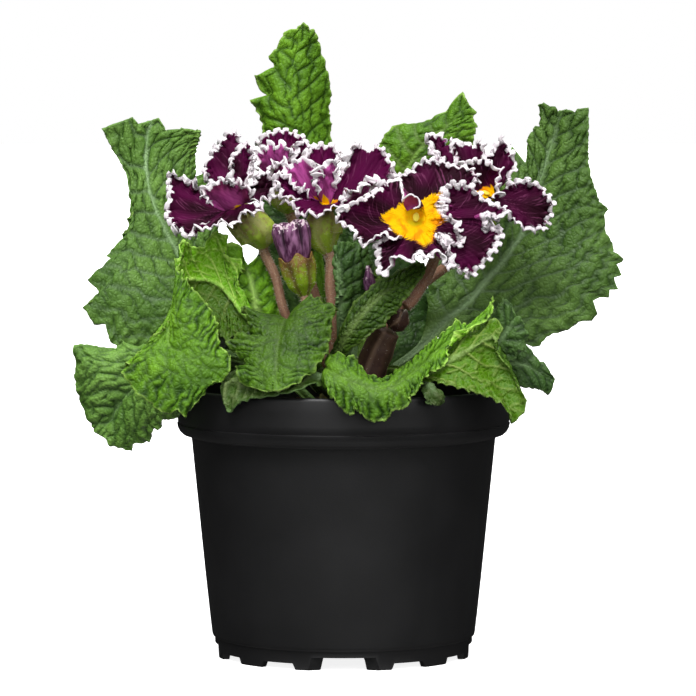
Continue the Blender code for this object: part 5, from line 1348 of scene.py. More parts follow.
# %% Petal grid
RIM_STEP = 0.38
RAY_STEP = 0.6
LAYER = 0.09


def petal_rays(bloom, outline, order):
    """Points of a smooth petal, row by row from root to rim, each column's share and the rim's length."""
    hub = np.array(seen(*bloom.hub))
    axis = unit(np.array(bloom.axis))
    places = all_seen(outline)
    length = line_length(places)
    v = np.linspace(0, 1, math.ceil(length / RIM_STEP) + 1)
    rim = smooth_curve(places, even_places(places, v))
    out = rim - hub
    flat = out - axis * (out @ axis)[:, None]
    flat_length = np.maximum(np.linalg.norm(flat, axis=1), 1e-6)[:, None]
    flat = flat / flat_length
    lift = LAYER * (order - 2) + 0.03
    root = hub + flat * (bloom.disc * 0.45) + axis * lift
    bend = root + flat * (np.maximum(flat_length - bloom.disc, 2.0) * 0.45 + bloom.disc * 0.17)
    rows = math.ceil(np.linalg.norm(rim - root, axis=1).max() / RAY_STEP)
    u = (np.linspace(0, 1, rows + 1) ** 0.85)[:, None, None]
    points = root * (1 - u) ** 2 + bend * (2 * u * (1 - u)) + rim * u**2
    if (grid_normals(points)[: rows // 2] @ axis).mean() < 0:
        points, v = points[:, ::-1], v[::-1]
    return points, v, length


def to_margin(points, normals, out_share, v):
    """Each point's distance to the petal's edge, and that edge point's length, ways, strength and place."""
    left, right = slice(1, -1), slice(-2, 0, -1)
    line = np.concatenate([points[left, 0], points[-1], points[right, -1]])
    inner = np.concatenate([points[left, 1], points[-2], points[right, -2]])
    normal = np.concatenate([normals[left, 0], normals[-1], normals[right, -1]])
    sides = [ramp(out_share[part, 0], 0.35, 0.8) for part in (left, right)]
    strength = np.concatenate([sides[0], np.ones(points.shape[1]), sides[1]])
    place = np.concatenate([np.full(len(points) - 2, v[0]), v, np.full(len(points) - 2, v[-1])])
    along = running_length(line)
    ahead = unit(np.gradient(line, axis=0))
    outward = unit(np.cross(ahead, normal))
    outward = outward * np.sign((outward * (line - inner)).sum(axis=1).mean())
    flat = points.reshape(-1, 3).astype(np.float32)
    square = ((flat[:, None] - line[None].astype(np.float32)) ** 2).sum(axis=2)
    cost = np.sqrt(square) + 3.0 * (1 - strength)[None]
    nearest = cost.argmin(axis=1)
    shape = points.shape[:2]
    distance = np.take_along_axis(cost, nearest[:, None], axis=1).reshape(shape)
    at = nearest.reshape(shape)
    return distance, along[at], ahead[at], outward[at], strength[at], place[at]


print("petals:", sum(len(bloom["petals"]) for bloom in BLOOMS.values()))

# %% [markdown]
# The frill is a ribbon about 2 mm wide that winds like a river: the rim grew half as long again as the
# petal could hold. So each point near the rim is moved out and in, along the rim and up and down by
# waves of about 3 mm that all start from the nearest rim point. Veins and slow swells run through
# the rest. The golden star is measured in the drawing for the large bloom, by the reach of its
# outline in each direction, and by distance from the hub for the others.

# %% Petal shape
PETAL_HALF = 0.2
PETAL_RUFFLE = 1.1
COARSE_WAVES = 7
FRILL_PITCH = 3.1
RIBBON = 1.5
FRILL_DEPTH = 4.6
VEIN_GAP = 1.7


def star_share(bloom, points, v, order):
    """How far each point is from the hub, as a share of the golden star's reach in its direction."""
    if bloom.star:
        across, up = np.moveaxis(seen_from_camera(points) - bloom.hub[:2], -1, 0)
        angle = np.degrees(np.arctan2(up, across)) % 360
        tips = sorted((math.degrees(math.atan2(z, x)) % 360, math.hypot(x, z)) for x, z in bloom.star)
        reach = np.interp(angle, [tip[0] for tip in tips], [tip[1] for tip in tips], period=360)
        return np.hypot(across, up) / reach * bloom.star_scale.get(order, 1.0)
    tip = 1 - np.abs(2 * v - 1)
    reach = bloom.eye * (0.75 + 0.75 * tip**1.3)
    return np.linalg.norm(points - np.array(seen(*bloom.hub)), axis=2) / reach[None, :]


def make_petal_part(bloom, outline, order, seed):
    points, v, length = petal_rays(bloom, outline, order)
    steps = np.linalg.norm(np.diff(points, axis=0), axis=2)
    outward = np.concatenate([np.zeros((1, len(v))), np.cumsum(steps, axis=0)])
    out_share = outward / outward[-1:]
    normals = grid_normals(points)
    edge, along, along_way, out_way, strength, place = to_margin(points, normals, out_share, v)
    calm, thin = np.ones_like(edge), np.ones_like(edge)
    for start, end, wave_share, white_share in bloom.quiet.get(order, []):
        here = ramp(place, start - 0.04, start + 0.02) * (1 - ramp(place, end - 0.02, end + 0.04))
        calm = calm * (1 - (1 - wave_share) * here)
        thin = thin * (1 - (1 - white_share) * here)

    lace = bloom.lace.get(order, 0.0)
    turn = math.tau * along / (FRILL_PITCH * (1 - 0.25 * lace))
    turn = turn + 2.4 * ripple(along, 0 * along, 12.0, seed)
    uneven = np.clip(0.9 + 0.55 * ripple(along, 0 * along, 8.0, seed + 3), 0.25, 1.5)
    near = (1 - ramp(edge, RIBBON * 0.6, FRILL_DEPTH)) * strength * (uneven * (1 + 0.3 * lace)) * calm
    up = -PETAL_RUFFLE * np.cos(math.pi * COARSE_WAVES * v)[None, :] * out_share**2.5 * calm
    up = up + near * (1.0 * np.sin(turn) + 0.3 * np.sin(2 * turn + 1.0))
    push = near * (0.62 * np.cos(turn) - 0.2)
    slide = 0.42 * near * np.sin(2 * turn)
    crumple = lace * (1 - ramp(edge, 1.5, 3.6)) * strength
    crumple_turn = edge / 2.1 + 0.3 * ripple(along, edge, 3.0, seed + 8)
    up = up + 0.7 * crumple * np.sin(math.tau * crumple_turn)
    vein_turn = math.tau * v * length / VEIN_GAP + 2 * ripple(v * length, v * 0, 7.0, seed + 4)
    up = up + 0.08 * np.sin(vein_turn)[None, :] * np.clip(outward / 6, 0, 1) * np.clip(edge / 3, 0, 1)
    up = up + 0.35 * ripple(v[None, :] * length, outward, 9.0, seed + 5) * np.clip(outward / 8, 0, 1)
    points = points + normals * up[..., None] + out_way * push[..., None] + along_way * slide[..., None]

    # Painted light: glow and flush lighten each petal's colour, and slow patches make the tone uneven.
    patch = ripple(v[None, :] * length, outward, 16.0, seed + 6)
    glow = bloom.glow + bloom.flush.get(order, 0.0) + 0.5 * patch
    values = {
        "edge": edge / ((1 + 0.9 * lace) * thin),
        "across": (v * length)[None, :] * (0.35 + 0.65 * out_share) + 31.0 * order,
        "outward": outward * 0.12 + 7.0 * order,
        "star": star_share(bloom, points, v, order),
        "glow": np.clip(glow, 0, 1),
    }
    half = PETAL_HALF * np.ones_like(edge)
    part = blade(points, half, half, values)
    # Painted light: a listed petal's face takes the back's lighter colours, to lift it out of its shade.
    if order in bloom.turned:
        part[2]["underside"] = 1 - part[2]["underside"]
    return part


print("petals are", 2 * PETAL_HALF, "mm thick and their frill winds every", FRILL_PITCH, "mm")

# %% [markdown]
# The petals join in a golden ring round the mouth of the flower's tube. Inside it the tube sinks to a
# narrow throat, where the pin stands: the round head of the style. The ring is turned from a
# profile and slightly scalloped, and greener on its lower side, where the throat is in shade.

# %% The eye of a bloom
EYE_SIDES = 60
EYE_PROFILE = (
    (0.9, -1.2), (1.0, -0.1), (0.98, 0.1), (0.84, 0.14), (0.7, 0.08), (0.58, -0.06), (0.46, -0.24),
    (0.34, -0.4),
)
EYE_DEPTH = (0, 0, 0, 0, 0.2, 0.6, 1.0, 1.0, 1.0)
THROAT = (0.3, -0.5)
PIN_HEIGHTS = (-0.9, -0.4, 0.0, 0.3, 0.5, 0.55)
PIN_RADII = (0.4, 0.4, 0.8, 1.05, 0.8, 0.15)


def make_eye_parts(bloom):
    hub = np.array(seen(*bloom.hub))
    axis = unit(np.array(bloom.axis))
    side = unit(np.cross(axis, (0, 0, 1)))
    other = np.cross(side, axis)
    angle = np.linspace(0, math.tau, EYE_SIDES, endpoint=False)
    way = np.cos(angle)[:, None] * side + np.sin(angle)[:, None] * other
    reach = bloom.disc * 0.55
    profile = [(reach * share, rise) for share, rise in EYE_PROFILE] + [THROAT]
    scallop = 1 + 0.05 * np.cos(5 * angle + 0.8) + 0.04 * np.cos(3 * angle + 1.0)
    rings = np.array([hub + way * (radius * scallop)[:, None] + axis * rise for radius, rise in profile])
    # The lower side of the throat gets depth: partly its greener tone and partly painted shade.
    low = np.clip(0.35 - 0.9 * np.sin(angle), 0, 1)
    depth = np.array(EYE_DEPTH)[:, None] * low
    ring = round_solid(rings, {"depth": depth, "pin": 0 * depth})
    middle = hub - side * 0.5 + other * 0.5
    taller = way[::4] + other * (0.5 * np.sin(angle[::4]))[:, None]
    pin = [middle + taller * radius + axis * rise for radius, rise in zip(PIN_RADII, PIN_HEIGHTS)]
    shape = (len(pin), len(taller))
    return [ring, round_solid(np.array(pin), {"depth": np.zeros(shape), "pin": np.ones(shape)})]


print("eye rings have", EYE_SIDES, "sides and", len(EYE_PROFILE) + 1, "rings of points")

# %% [markdown]
# Calyces and flower stalks are green tissue under fine pale down. The stalks are flushed pinkish
# brown, the calyces olive with darker ribs, the young bud a fresh yellow-green with dark specks. The
# down is made of real spikes in the mesh, so the edge of a stalk looks soft against the light. The
# cells of the real skin are far too fine to show, so its mottling is drawn at 1 to 2 mm.

# %% Stalk and calyx finish
def stem_finish(name, base, flush, rib, speck, grain, roughness=0.6):
    # Young stems are juicy under a thin skin: a soft low gloss, and a blush that pools in patches and
    # grows with height. The eye reads the specks and the pale down as a velvety bloom.
    made, add, shader = new_finish(name, Roughness=roughness, Specular_IOR_Level=0.35)
    place = add("TexCoord").outputs["Object"]
    ribs, height, hair = [
        add("Attribute", attribute_name=given).outputs["Fac"]
        for given in ("rib", "height", "hair")
    ]
    mottle = add("TexNoise", {"Vector": place, "Scale": 1000 / grain, "Detail": 3})
    spots = add("TexVoronoi", {"Vector": place, "Scale": 1000 / (grain * 0.7)})
    patch = add("MapRange", {0: mottle, 1: 0.35, 2: 0.65})
    level = add("Math", {0: patch, 1: 0.45})
    level = add("Math", {0: level, 1: height}, operation="ADD")
    share = add("MapRange", {0: level, 1: 0.6, 2: 1.15})
    dots = add("MapRange", {0: spots, 1: 0.12, 2: 0.28, 3: 0.6, 4: 0})
    body = add("Mix", {0: share, 6: base, 7: flush})
    body = add("Mix", {0: ribs, 6: body, 7: rib})
    body = add("Mix", {0: dots, 6: body, 7: speck})
    body = add("Mix", {0: hair, 6: body, 7: "#e6dccb"})
    bump = add("Bump", {"Height": mottle, "Distance": 0.2 * MM, "Strength": 0.7})
    fill(shader, {"Base Color": body, "Normal": bump})
    return made


CALYX_FINISH = stem_finish("downy calyx, olive green", "#a6c43c", "#8a7c48", "#bcc070", "#7ca52e", 1.6)
BUD_FINISH = stem_finish("downy bud, yellow-green", "#84a31e", "#80602f", "#5c4326", "#5f5228", 1.2, 0.5)
STALK_FINISH = stem_finish("downy stalk, pinkish brown", "#a0765f", "#b08e70", "#7c5548", "#7a5244", 1.0)
# The dark stalk's pale rib colour lies on its crests: partly paler skin and partly a painted highlight.
PEDUNCLE_FINISH = stem_finish("ribbed stalk, dark brown", "#3d2620", "#4a3428", "#7d6450", "#54392c", 1.4)
print("stem finishes:", CALYX_FINISH.name, BUD_FINISH.name, STALK_FINISH.name, sep="; ")

# %% [markdown]
# A stalk is a row of rings along a smooth line. Each ring keeps the last one's turn as nearly as it
# can, so the tube doesn't twist. The down is then planted on it: thin three-sided spikes at random
# places of the rings, each leaning its own way, with the draw seeded so that it stays the same.

# %% Stalks and down
STALK_SIDES = 24
STALK_RING_STEP = 0.8
HAIR_THICKNESS = 0.06
HAIR_ROOT = 0.1


def ring_path(line, radii, sides, rows):
    """Along the smooth curve: each row's centre and way, the ways out of it, its radius, angles, share."""
    share = np.linspace(0, 1, rows)
    centre = smooth_curve(line, share)
    ahead = unit(np.gradient(centre, axis=0))
    side = np.cross(ahead[0], (0.0, 0.0, 1.0))
    side = unit(side) if np.linalg.norm(side) > 0.05 else np.array((1.0, 0, 0))
    sides_one, sides_two = [], []
    for way in ahead:
        side = unit(side - way * (side @ way))
        sides_one.append(side)
        sides_two.append(np.cross(way, side))
    radius = np.interp(share, np.linspace(0, 1, len(radii)), radii)
    angle = np.linspace(0, math.tau, sides, endpoint=False)
    around = (
        np.cos(angle)[None, :, None] * np.array(sides_one)[:, None]
        + np.sin(angle)[None, :, None] * np.array(sides_two)[:, None]
    )
    return centre, ahead, around, radius, angle, share


def down(rings, normals, count, length, seed):
    """Fine closed spikes that stand out of the rings' surface, rooted just under it."""
    draw = np.random.default_rng(seed)
    rows, sides = rings.shape[:2]
    row = draw.integers(1, rows - 1, count)
    side = draw.integers(0, sides, count)
    blend = draw.random((count, 1))
    foot = rings[row, side] * (1 - blend) + rings[row - 1, side] * blend
    way = unit(normals[row, side] + 0.45 * draw.normal(size=(count, 3)))
    one = unit(np.cross(way, draw.normal(size=(count, 3))))
    two = np.cross(way, one)
    foot = foot - way * HAIR_ROOT
    tip = foot + way * (length * (0.5 + draw.random((count, 1))))
    turns = (0.0, 2.09, 4.19)
    corners = [foot + (one * math.cos(a) + two * math.sin(a)) * HAIR_THICKNESS for a in turns]
    points = np.stack([*corners, tip], axis=1).reshape(-1, 3)
    base = (np.arange(count) * 4)[:, None, None]
    faces = (base + np.array([[0, 1, 3], [1, 2, 3], [2, 0, 3], [2, 1, 0]])).reshape(-1, 3)
    return points, faces, {"hair": np.full(len(points), 0.85)}


def stalk_end(foot, swell):
    """The last points of a stalk, which runs square into the foot of its calyx."""
    lead = unit(swell - foot)
    return [foot - lead * 2.2, foot + lead * 0.8]


def make_stalk_parts(line, radii, seed, ribs=0, rib_depth=0.0, hairs=700, hair_length=0.8):
    rows = math.ceil(line_length(line) / STALK_RING_STEP)
    centre, _, around, radius, angle, share = ring_path(line, radii, STALK_SIDES, rows)
    swell = 1 + 0.04 * ripple(share[:, None] * 40, angle[None, :] * 3, 9.0, seed)
    crest = 0.5 * np.clip(-np.cos(7 * angle), 0, 1)
    if ribs:
        swell = swell + rib_depth * np.cos(ribs * angle)[None, :]
        # With ribs the crests take the rib colour, pale on the dark stalk and bracts, partly a painted
        # highlight.
        crest = np.clip(np.cos(ribs * angle), 0, 1) ** 8
    rings = centre[:, None] + around * (radius[:, None] * swell)[..., None]
    height = share[:, None] + 0 * angle[None, :]
    body = round_solid(rings, {"rib": crest[None, :] + 0 * height, "height": height})
    return [body, down(rings, around, hairs, hair_length, seed)]


print("stalks have", STALK_SIDES, "sides and hairs", 2 * HAIR_THICKNESS, "mm thick")

# %% [markdown]
# A calyx is a five-ribbed cup with five pointed teeth round the petals' tube. Its rings run up the
# outside, over the lip and down inside to a floor, so the wall is a closed solid with real thickness.

# %% Calyces
CALYX_ROWS = 26
CALYX_SIDES = 90
CALYX_RIBS = 5
CALYX_HAIR = 0.6


def inner_rings(outline, shape, up, rows, shrink, drop):
    """The lip, a ring inside the wall and a floor, which close a cup of rings from the inside."""
    centre, ahead, around, radius = outline
    wall, floor_row, floor_share = rows
    lip = centre[-1] + around[-1] * (radius[-1] * (shape[-1] - shrink[0]))[:, None]
    lip = lip + ahead[-1] * (up[-1] - drop)[:, None]
    inside = centre[wall] + around[wall] * (radius[wall] * (shape[wall] - shrink[1]))[:, None]
    bottom = centre[floor_row] + around[floor_row] * (radius[floor_row] * floor_share)
    return [[lip], [inside], [bottom]]


def make_calyx_parts(foot, neck, swell, radii, seed, teeth=2.6, hairs=420):
    line = np.array([foot, swell, neck])
    centre, ahead, around, radius, angle, share = ring_path(line, radii, CALYX_SIDES, CALYX_ROWS)
    keel = np.cos(CALYX_RIBS * angle)[None, :]
    fine = np.cos(3 * CALYX_RIBS * angle + 0.6)[None, :]
    shape = 1 + 0.085 * keel * np.sin(math.pi * np.clip(share * 1.1, 0, 1))[:, None] ** 0.5
    shape = shape + 0.014 * fine + 0.02 * ripple(share[:, None] * 14, angle[None, :] * 4, 5.0, seed)
    tooth = teeth * (np.clip((keel + 1) / 2, 0, 1) ** 1.5 - 0.65) * ramp(share, 0.6, 1.0)[:, None]
    outer = centre[:, None] + around * (radius[:, None] * shape)[..., None]
    outer = outer + ahead[:, None] * tooth[..., None]
    inner = inner_rings((centre, ahead, around, radius), shape, tooth, (-5, -6, 0.4), (0.09, 0.14), 0.15)
    rings = np.concatenate([outer, *inner])
    heights = np.concatenate([share, [1.0, 0.9, 0.8]])[:, None] + 0 * angle[None, :]
    groove = np.clip(-keel, 0, 1) * 0.8 + 0 * heights
    body = round_solid(rings, {"rib": groove, "height": heights})
    return [body, down(outer, around, hairs, CALYX_HAIR, seed)]


print("a calyx has", CALYX_RIBS, "ribs and", CALYX_SIDES, "sides")

# %% [markdown]
# Each bloom is four pieces by colour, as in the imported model: petals, eye, calyx and stalk. A short
# tube between calyx and petals goes with the calyx, so nothing shows through from the side.

# %% The blooms
CALYX_SHARES = (0.28, 0.72, 0.98, 1.0, 0.86)
TUBE_RADII = (2.2, 2.0, 2.4)
TUBE_ROWS = 8
FIRST_BLOOM_SEED = 100

for number, (name, own) in enumerate(BLOOMS.items()):
    bloom = SimpleNamespace(**(COMMON_BLOOM | own))
    seed = FIRST_BLOOM_SEED + 20 * number
    outlines = enumerate(bloom.petals)
    petals = [make_petal_part(bloom, outline, order, seed + order) for order, outline in outlines]
    piece_from(name + "_petals_fine", petals, PETAL_FINISH, "petal", name + "_petals")
    piece_from(name + "_eye_fine", make_eye_parts(bloom), EYE_FINISH, "eye", name + "_eye")
    hub = np.array(seen(*bloom.hub))
    axis = unit(np.array(bloom.axis))
    foot = np.array(seen(*bloom.calyx_foot))
    neck = hub - axis * bloom.neck
    swell = (foot + neck) / 2 - axis * 0.6 + (bloom.belly, 0, 0)
    radii = [bloom.calyx_radius * share for share in CALYX_SHARES]
    calyx = make_calyx_parts(foot, neck, swell, radii, seed + 11)
    tube_line = np.array([neck - axis * 4, neck - axis, hub - axis])
    centre, _, around, radius, _, _ = ring_path(tube_line, TUBE_RADII, STALK_SIDES, TUBE_ROWS)
    tube = centre[:, None] + around * radius[:, None, None]
    calyx.append(round_solid(tube, {"height": np.ones(tube.shape[:2])}))
    piece_from(name + "_calyx_fine", calyx, CALYX_FINISH, "calyx", name + "_calyx")
    path = np.concatenate([all_seen(bloom.stalk), stalk_end(foot, swell)])
    stalk = make_stalk_parts(path, [bloom.stalk_radius] * 8, seed + 12)
    piece_from(name + "_stalk_fine", stalk, STALK_FINISH, "flower_stalk", name + "_stalk")

# %% [markdown]
# Left of the middle one bud is about to open. Its petals stand rolled in a short tube, purple with
# whitish tips and deep shadow between the rolls, so it is made as a wall whose radius folds in and
# out, down inside again to a floor, and the folds and the floor are given near-black painted shade. A
# small bud and the head of the thick old stalk are the same kinds of form, smaller and browner.

# %% Rolled petals
STRETCH = 0.25
ROLL_SIDES = 112
ROLLS = 7
ROLL_DEPTH = 0.16
ROLL_TIP = 1.3


def bud_petal_finish():
    # The outside of a rolled petal is its matt back: streaks run along it, the folds and the floor inside
    # get near-black painted shade, and the torn tips catch the light. The real streaks are finer and are
    # drawn at about 1 mm.
    name = "rolled petals of a bud, purple with pale tips"
    made, add, shader = new_finish(name, Roughness=0.6, Specular_IOR_Level=0.3)
    place = add("TexCoord").outputs["Object"]
    groove, height = [
        add("Attribute", attribute_name=given).outputs["Fac"] for given in ("rib", "height")
    ]
    stretched = add("Mapping", {"Vector": place, "Scale": (1, 1, STRETCH)})
    lines = add("TexNoise", {"Vector": stretched, "Scale": 900, "Detail": 3})
    streak = add("MapRange", {0: lines, 1: 0.4, 2: 0.62})
    flecks = add("TexNoise", {"Vector": place, "Scale": 1100, "Detail": 1})
    reach = add("Math", {0: height, 1: flecks}, operation="ADD")
    pale = add("MapRange", {0: reach, 1: 1.42, 2: 1.5, 4: 0.9})
    body = add("Mix", {0: streak, 6: "#4c1c42", 7: "#a06c94"})
    # Painted shade in the folds and on the floor inside.
    body = add("Mix", {0: groove, 6: body, 7: "#1d0717"})
    body = add("Mix", {0: pale, 6: body, 7: "#ecd6de"})
    bump = add("Bump", {"Height": lines, "Distance": 0.15 * MM, "Strength": 0.7})
    fill(shader, {"Base Color": body, "Normal": bump})
    return made


def make_rolled_petals(line, radii, seed):
    """A wall of rolled petals round the line, with uneven tips, and down inside to a floor."""
    centre, ahead, around, radius, angle, share = ring_path(line, radii, ROLL_SIDES, CALYX_ROWS)
    turn = ROLLS * angle + 0.9 * np.sin(2 * angle + seed)
    fold = np.abs(np.sin(turn / 2))[None, :] ** 0.6
    strength = ramp(share, 0.05, 0.6)[:, None]
    shape = 1 + ROLL_DEPTH * (fold - 0.72) * strength * 1.6
    shape = shape + 0.03 * ripple(share[:, None] * 12, angle[None, :] * 5, 5.0, seed)
    uneven = 0.5 * ripple(angle * 4, angle * 0, 6.0, seed + 1)[None, :]
    up = ROLL_TIP * (fold - 0.6 + uneven) * ramp(share, 0.55, 1.0)[:, None]
    outer = centre[:, None] + around * (radius[:, None] * shape)[..., None] + ahead[:, None] * up[..., None]
    inner = inner_rings((centre, ahead, around, radius), shape, up, (-9, -10, 0.3), (0.16, 0.3), 0.2)
    heights = np.concatenate([share, [0.95, 0.2, 0.2]])[:, None] + 0 * angle[None, :]
    # Painted shade: the folds between the rolls and the floor inside are mixed towards near-black.
    deep = np.concatenate([np.minimum(share * 2, 1), [0.6, 1, 1]])[:, None]
    groove = (1 - fold) ** 1.2 * 1.3 * deep
    return round_solid(np.concatenate([outer, *inner]), {"rib": np.clip(groove, 0, 1), "height": heights})


BUD_PETAL_FINISH = bud_petal_finish()
print("the bud has", ROLLS, "rolls; finish:", BUD_PETAL_FINISH.name)

# %% The large bud
BUD = {
    "foot": (-12.3, 112.9, -17.0),
    "top": (-15.0, 125.2, -15.5),
    "tip": (-17.0, 136.2, -15.5),
    "radius": 5.6,
    "stalk": [(-2.9, 86.7, -4.6), (-7.5, 95, -12), (-12.0, 105.5, -16)],
    "stalk_radius": 1.4,
}
BUD_CALYX_SHARES = (0.27, 0.72, 0.88, 0.97, 1.0)
BUD_PETAL_SHARES = (0.8, 0.94, 1.0, 1.03, 0.9)

foot, top, tip = (np.array(seen(*BUD[key])) for key in ("foot", "top", "tip"))
radii = [BUD["radius"] * share for share in BUD_CALYX_SHARES]
calyx = make_calyx_parts(foot, top, (foot + top) / 2, radii, 300, teeth=2.2, hairs=380)
piece_from("bud_calyx_fine", calyx, BUD_FINISH, "bud_calyx", "bud_calyx")
axis = unit(tip - top)
radii = [BUD["radius"] * share for share in BUD_PETAL_SHARES]
rolled = make_rolled_petals(np.array([top - axis, (top + tip) / 2, tip - axis * 0.4]), radii, 311)
piece_from("bud_petals_fine", [rolled], BUD_PETAL_FINISH, "bud_petal", "bud_petals")
path = np.concatenate([all_seen(BUD["stalk"]), stalk_end(foot, top)])
stalk = make_stalk_parts(path, [BUD["stalk_radius"]] * 7, 312)
piece_from("bud_stalk_fine", stalk, STALK_FINISH, "flower_stalk", "bud_stalk")

# %% [markdown]
# The thick stalk right of the middle is older than the others: dark brown, with seven ribs and little
# down. A ball of shut bracts sits at its head, with two dry ones curled off it, and beside it a small
# purple bud stands on a thin stalk that is one form with it. They are stalks too, of other radii.

# %% Thick stalk, bracts and small bud
PEDUNCLE = [
    (6.6, 69.2, -21.0),
    (6.6, 79.0, -21.0),
    (8.0, 88.0, -21.0),
    (11.0, 96.5, -21.8),
    (13.8, 102.0, -23.0),
]
PEDUNCLE_RADII = (3.9, 4.6, 5.0, 4.6, 3.8)
BRACTS = (17.0, 105.4, -24.0)
BRACT_RADII = (1.815, 3.3, 3.234, 1.65)
BRACT_HALF = 0.12
SMALL_BUD = [(11.5, 104.5, -14.0), (9.6, 112.0, -16.0), (8.2, 117.0, -18.0), (7.6, 122.5, -19.0)]
SMALL_BUD_RADII = (0.9, 0.8, 0.8, 1.5, 2.0, 1.9, 1.2, 0.5)


def dry_bract(ball, turn, reach):
    """A thin blade that stands round one side of the ball and curls off it, with a pale torn edge."""
    spread = np.linspace(-1, 1, 13)[None, :]
    rise = np.linspace(0, 1, 15)[:, None]
    swing = turn + 0.75 * spread * (1 - 0.55 * rise**2)
    out = reach + 0.9 * rise - 1.2 * rise**3 + 0.1 * ripple(spread * 6, rise * 6, 5.0, 345)
    across = ball[0] + out * np.sin(swing) + 1.0 * rise
    depth = ball[1] - out * np.cos(swing)
    up = ball[2] - 1.8 + 5.2 * rise - 0.6 * spread**2 + 0 * swing
    pale = 0.55 * np.clip(rise**14 + np.abs(spread) ** 24, 0, 1) * (turn > 0)
    half = BRACT_HALF * np.ones(swing.shape)
    return blade(np.stack([across, depth, up], axis=-1), half, half, {"hair": pale, "height": 0 * pale})


def make_bract_parts():
    ball = np.array(seen(*BRACTS))
    line = np.array([ball - (2.6, 0, 2.0), ball, ball + (1.4, -0.6, 3.0)])
    parts = make_stalk_parts(line, BRACT_RADII, 341, ribs=4, rib_depth=0.09, hairs=60, hair_length=0.5)
    return parts + [dry_bract(ball, turn, reach) for turn, reach in ((-0.6, 2.9), (0.7, 2.6))]


small = make_stalk_parts(all_seen(SMALL_BUD), SMALL_BUD_RADII, 320, ribs=5, rib_depth=0.07, hairs=90)
piece_from("small_bud_fine", small, BUD_PETAL_FINISH, "bud_petal", "small_bud")
thick = {"ribs": 7, "rib_depth": 0.05, "hairs": 140, "hair_length": 0.5}
peduncle = make_stalk_parts(all_seen(PEDUNCLE), PEDUNCLE_RADII, 330, **thick)
piece_from("peduncle_fine", peduncle, PEDUNCLE_FINISH, "flower_stalk_dark", "peduncle")
piece_from("bracts_fine", make_bract_parts(), PEDUNCLE_FINISH, "flower_stalk_dark", "bracts")

# %% [markdown]
# The pot is injection moulded polypropylene, coloured through with carbon black. Plastic that dark
# shows its form only in soft highlights, so its edges must be rounded as moulding rounds them. Its
# profile runs from the middle of the floor outside, down round the foot, up the wall to the rim and
# back down inside: pairs of radius and height in mm. The rim has a fine groove above its lower band,
# which draws the dark line there. The profile is turned about the axis in fine steps.

# %% Pot
POT_PROFILE = [
    (0.05, 4.1), (12, 4.1), (24, 4.1), (34, 4.1), (38.1, 4.1), (38.3, 3.9), (38.3, 0.2), (38.5, 0),
    (40.3, 0), (40.6, 0.3), (40.6, 5.6), (40.75, 5.95), (41.2, 6.25), (41.4, 6.6), (41.5, 7.2),
    (42.3, 14), (43.6, 26), (44.8, 38), (46, 50), (47.2, 62), (47.8, 68.2), (48.0, 69.0), (48.5, 69.4),
    (49.4, 69.5), (50.6, 69.9), (51.5, 70.7), (52.1, 71.8), (52.35, 72.8), (52.4, 73.2), (52.0, 73.4),
    (52.0, 73.6), (52.15, 73.9), (52.25, 76), (52.4, 80), (52.5, 83.6), (52.42, 84.1), (52.2, 84.5),
    (51.85, 84.75), (51.5, 84.8), (51.25, 84.6), (51.2, 84.2), (51.1, 79), (51.0, 73.9), (50.4, 72.6),
    (49.0, 71.6), (47.2, 71.1), (46.6, 70.6), (46.4, 69.4), (43.2, 38), (40.1, 6.2), (39.6, 5.75),
    (38.5, 5.7), (24, 5.7), (0.05, 5.7),
]
POT_SIDES = 180
SPARK_GRAINS_PER_METRE = 2200.0
DUST_PATCHES_PER_METRE = 45.0


def turned_rings(profile, sides):
    angle = np.linspace(0, math.tau, sides, endpoint=False)
    return np.array([[(r * math.cos(a), r * math.sin(a), z) for a in angle] for r, z in profile])


def pot_finish():
    # Moulded with a fine spark-eroded grain: satin, with a broad soft highlight and no mirror image. The
    # grain is 0.1 mm on a real pot and is drawn at 0.5 mm. A thin wash of dust greys it in patches.
    name = "moulded polypropylene, black"
    made, add, shader = new_finish(name, Roughness=0.5, IOR=1.49, Specular_IOR_Level=0.62)
    place = add("TexCoord").outputs["Object"]
    grain = add("TexNoise", {"Vector": place, "Scale": SPARK_GRAINS_PER_METRE, "Detail": 2})
    wash = add("TexNoise", {"Vector": place, "Scale": DUST_PATCHES_PER_METRE, "Detail": 3})
    dust = add("MapRange", {0: wash, 1: 0.45, 2: 0.75, 4: 0.25})
    body = add("Mix", {0: dust, 6: "#141415", 7: "#1d1d1e"})
    rough = add("MapRange", {0: wash, 1: 0.3, 2: 0.7, 3: 0.42, 4: 0.5})
    bump = add("Bump", {"Height": grain, "Distance": 0.04 * MM, "Strength": 0.5})
    fill(shader, {"Base Color": body, "Roughness": rough, "Normal": bump})
    return made


pot_parts = [round_solid(turned_rings(POT_PROFILE, POT_SIDES))]
pot = piece_from("pot_fine", pot_parts, pot_finish(), "pot_plastic", "pot")
print("pot:", 2 * max(radius for radius, _ in POT_PROFILE), "mm across")

# %% [markdown]
# Under the wall runs a ring of feet, so water can leave. The gaps between them are cut away: wide ones
# in front, behind and at the sides, with sloped sides that grow narrower upward, and two narrow ones
# between each pair. Six drain holes go through the floor. All cutters are joined in one mesh, and the
# Boolean is applied at once, so the kept mesh is plain and sharp where the mould was.

# %% Feet and drain holes
GAPS = 12
WIDE_GAP = (4.05, 20.0, 5.6)
NARROW_GAP = (2.0, 7.3, 7.3)
GAP_SPREAD = 2.0
GAP_OUTSIDE = 44
GAP_INSIDE = 37
DRAINS = 6
DRAIN_RADIUS = 3.2
DRAIN_CIRCLE = 26.0
DRAIN_SIDES = 32
SHARP_FROM = 32


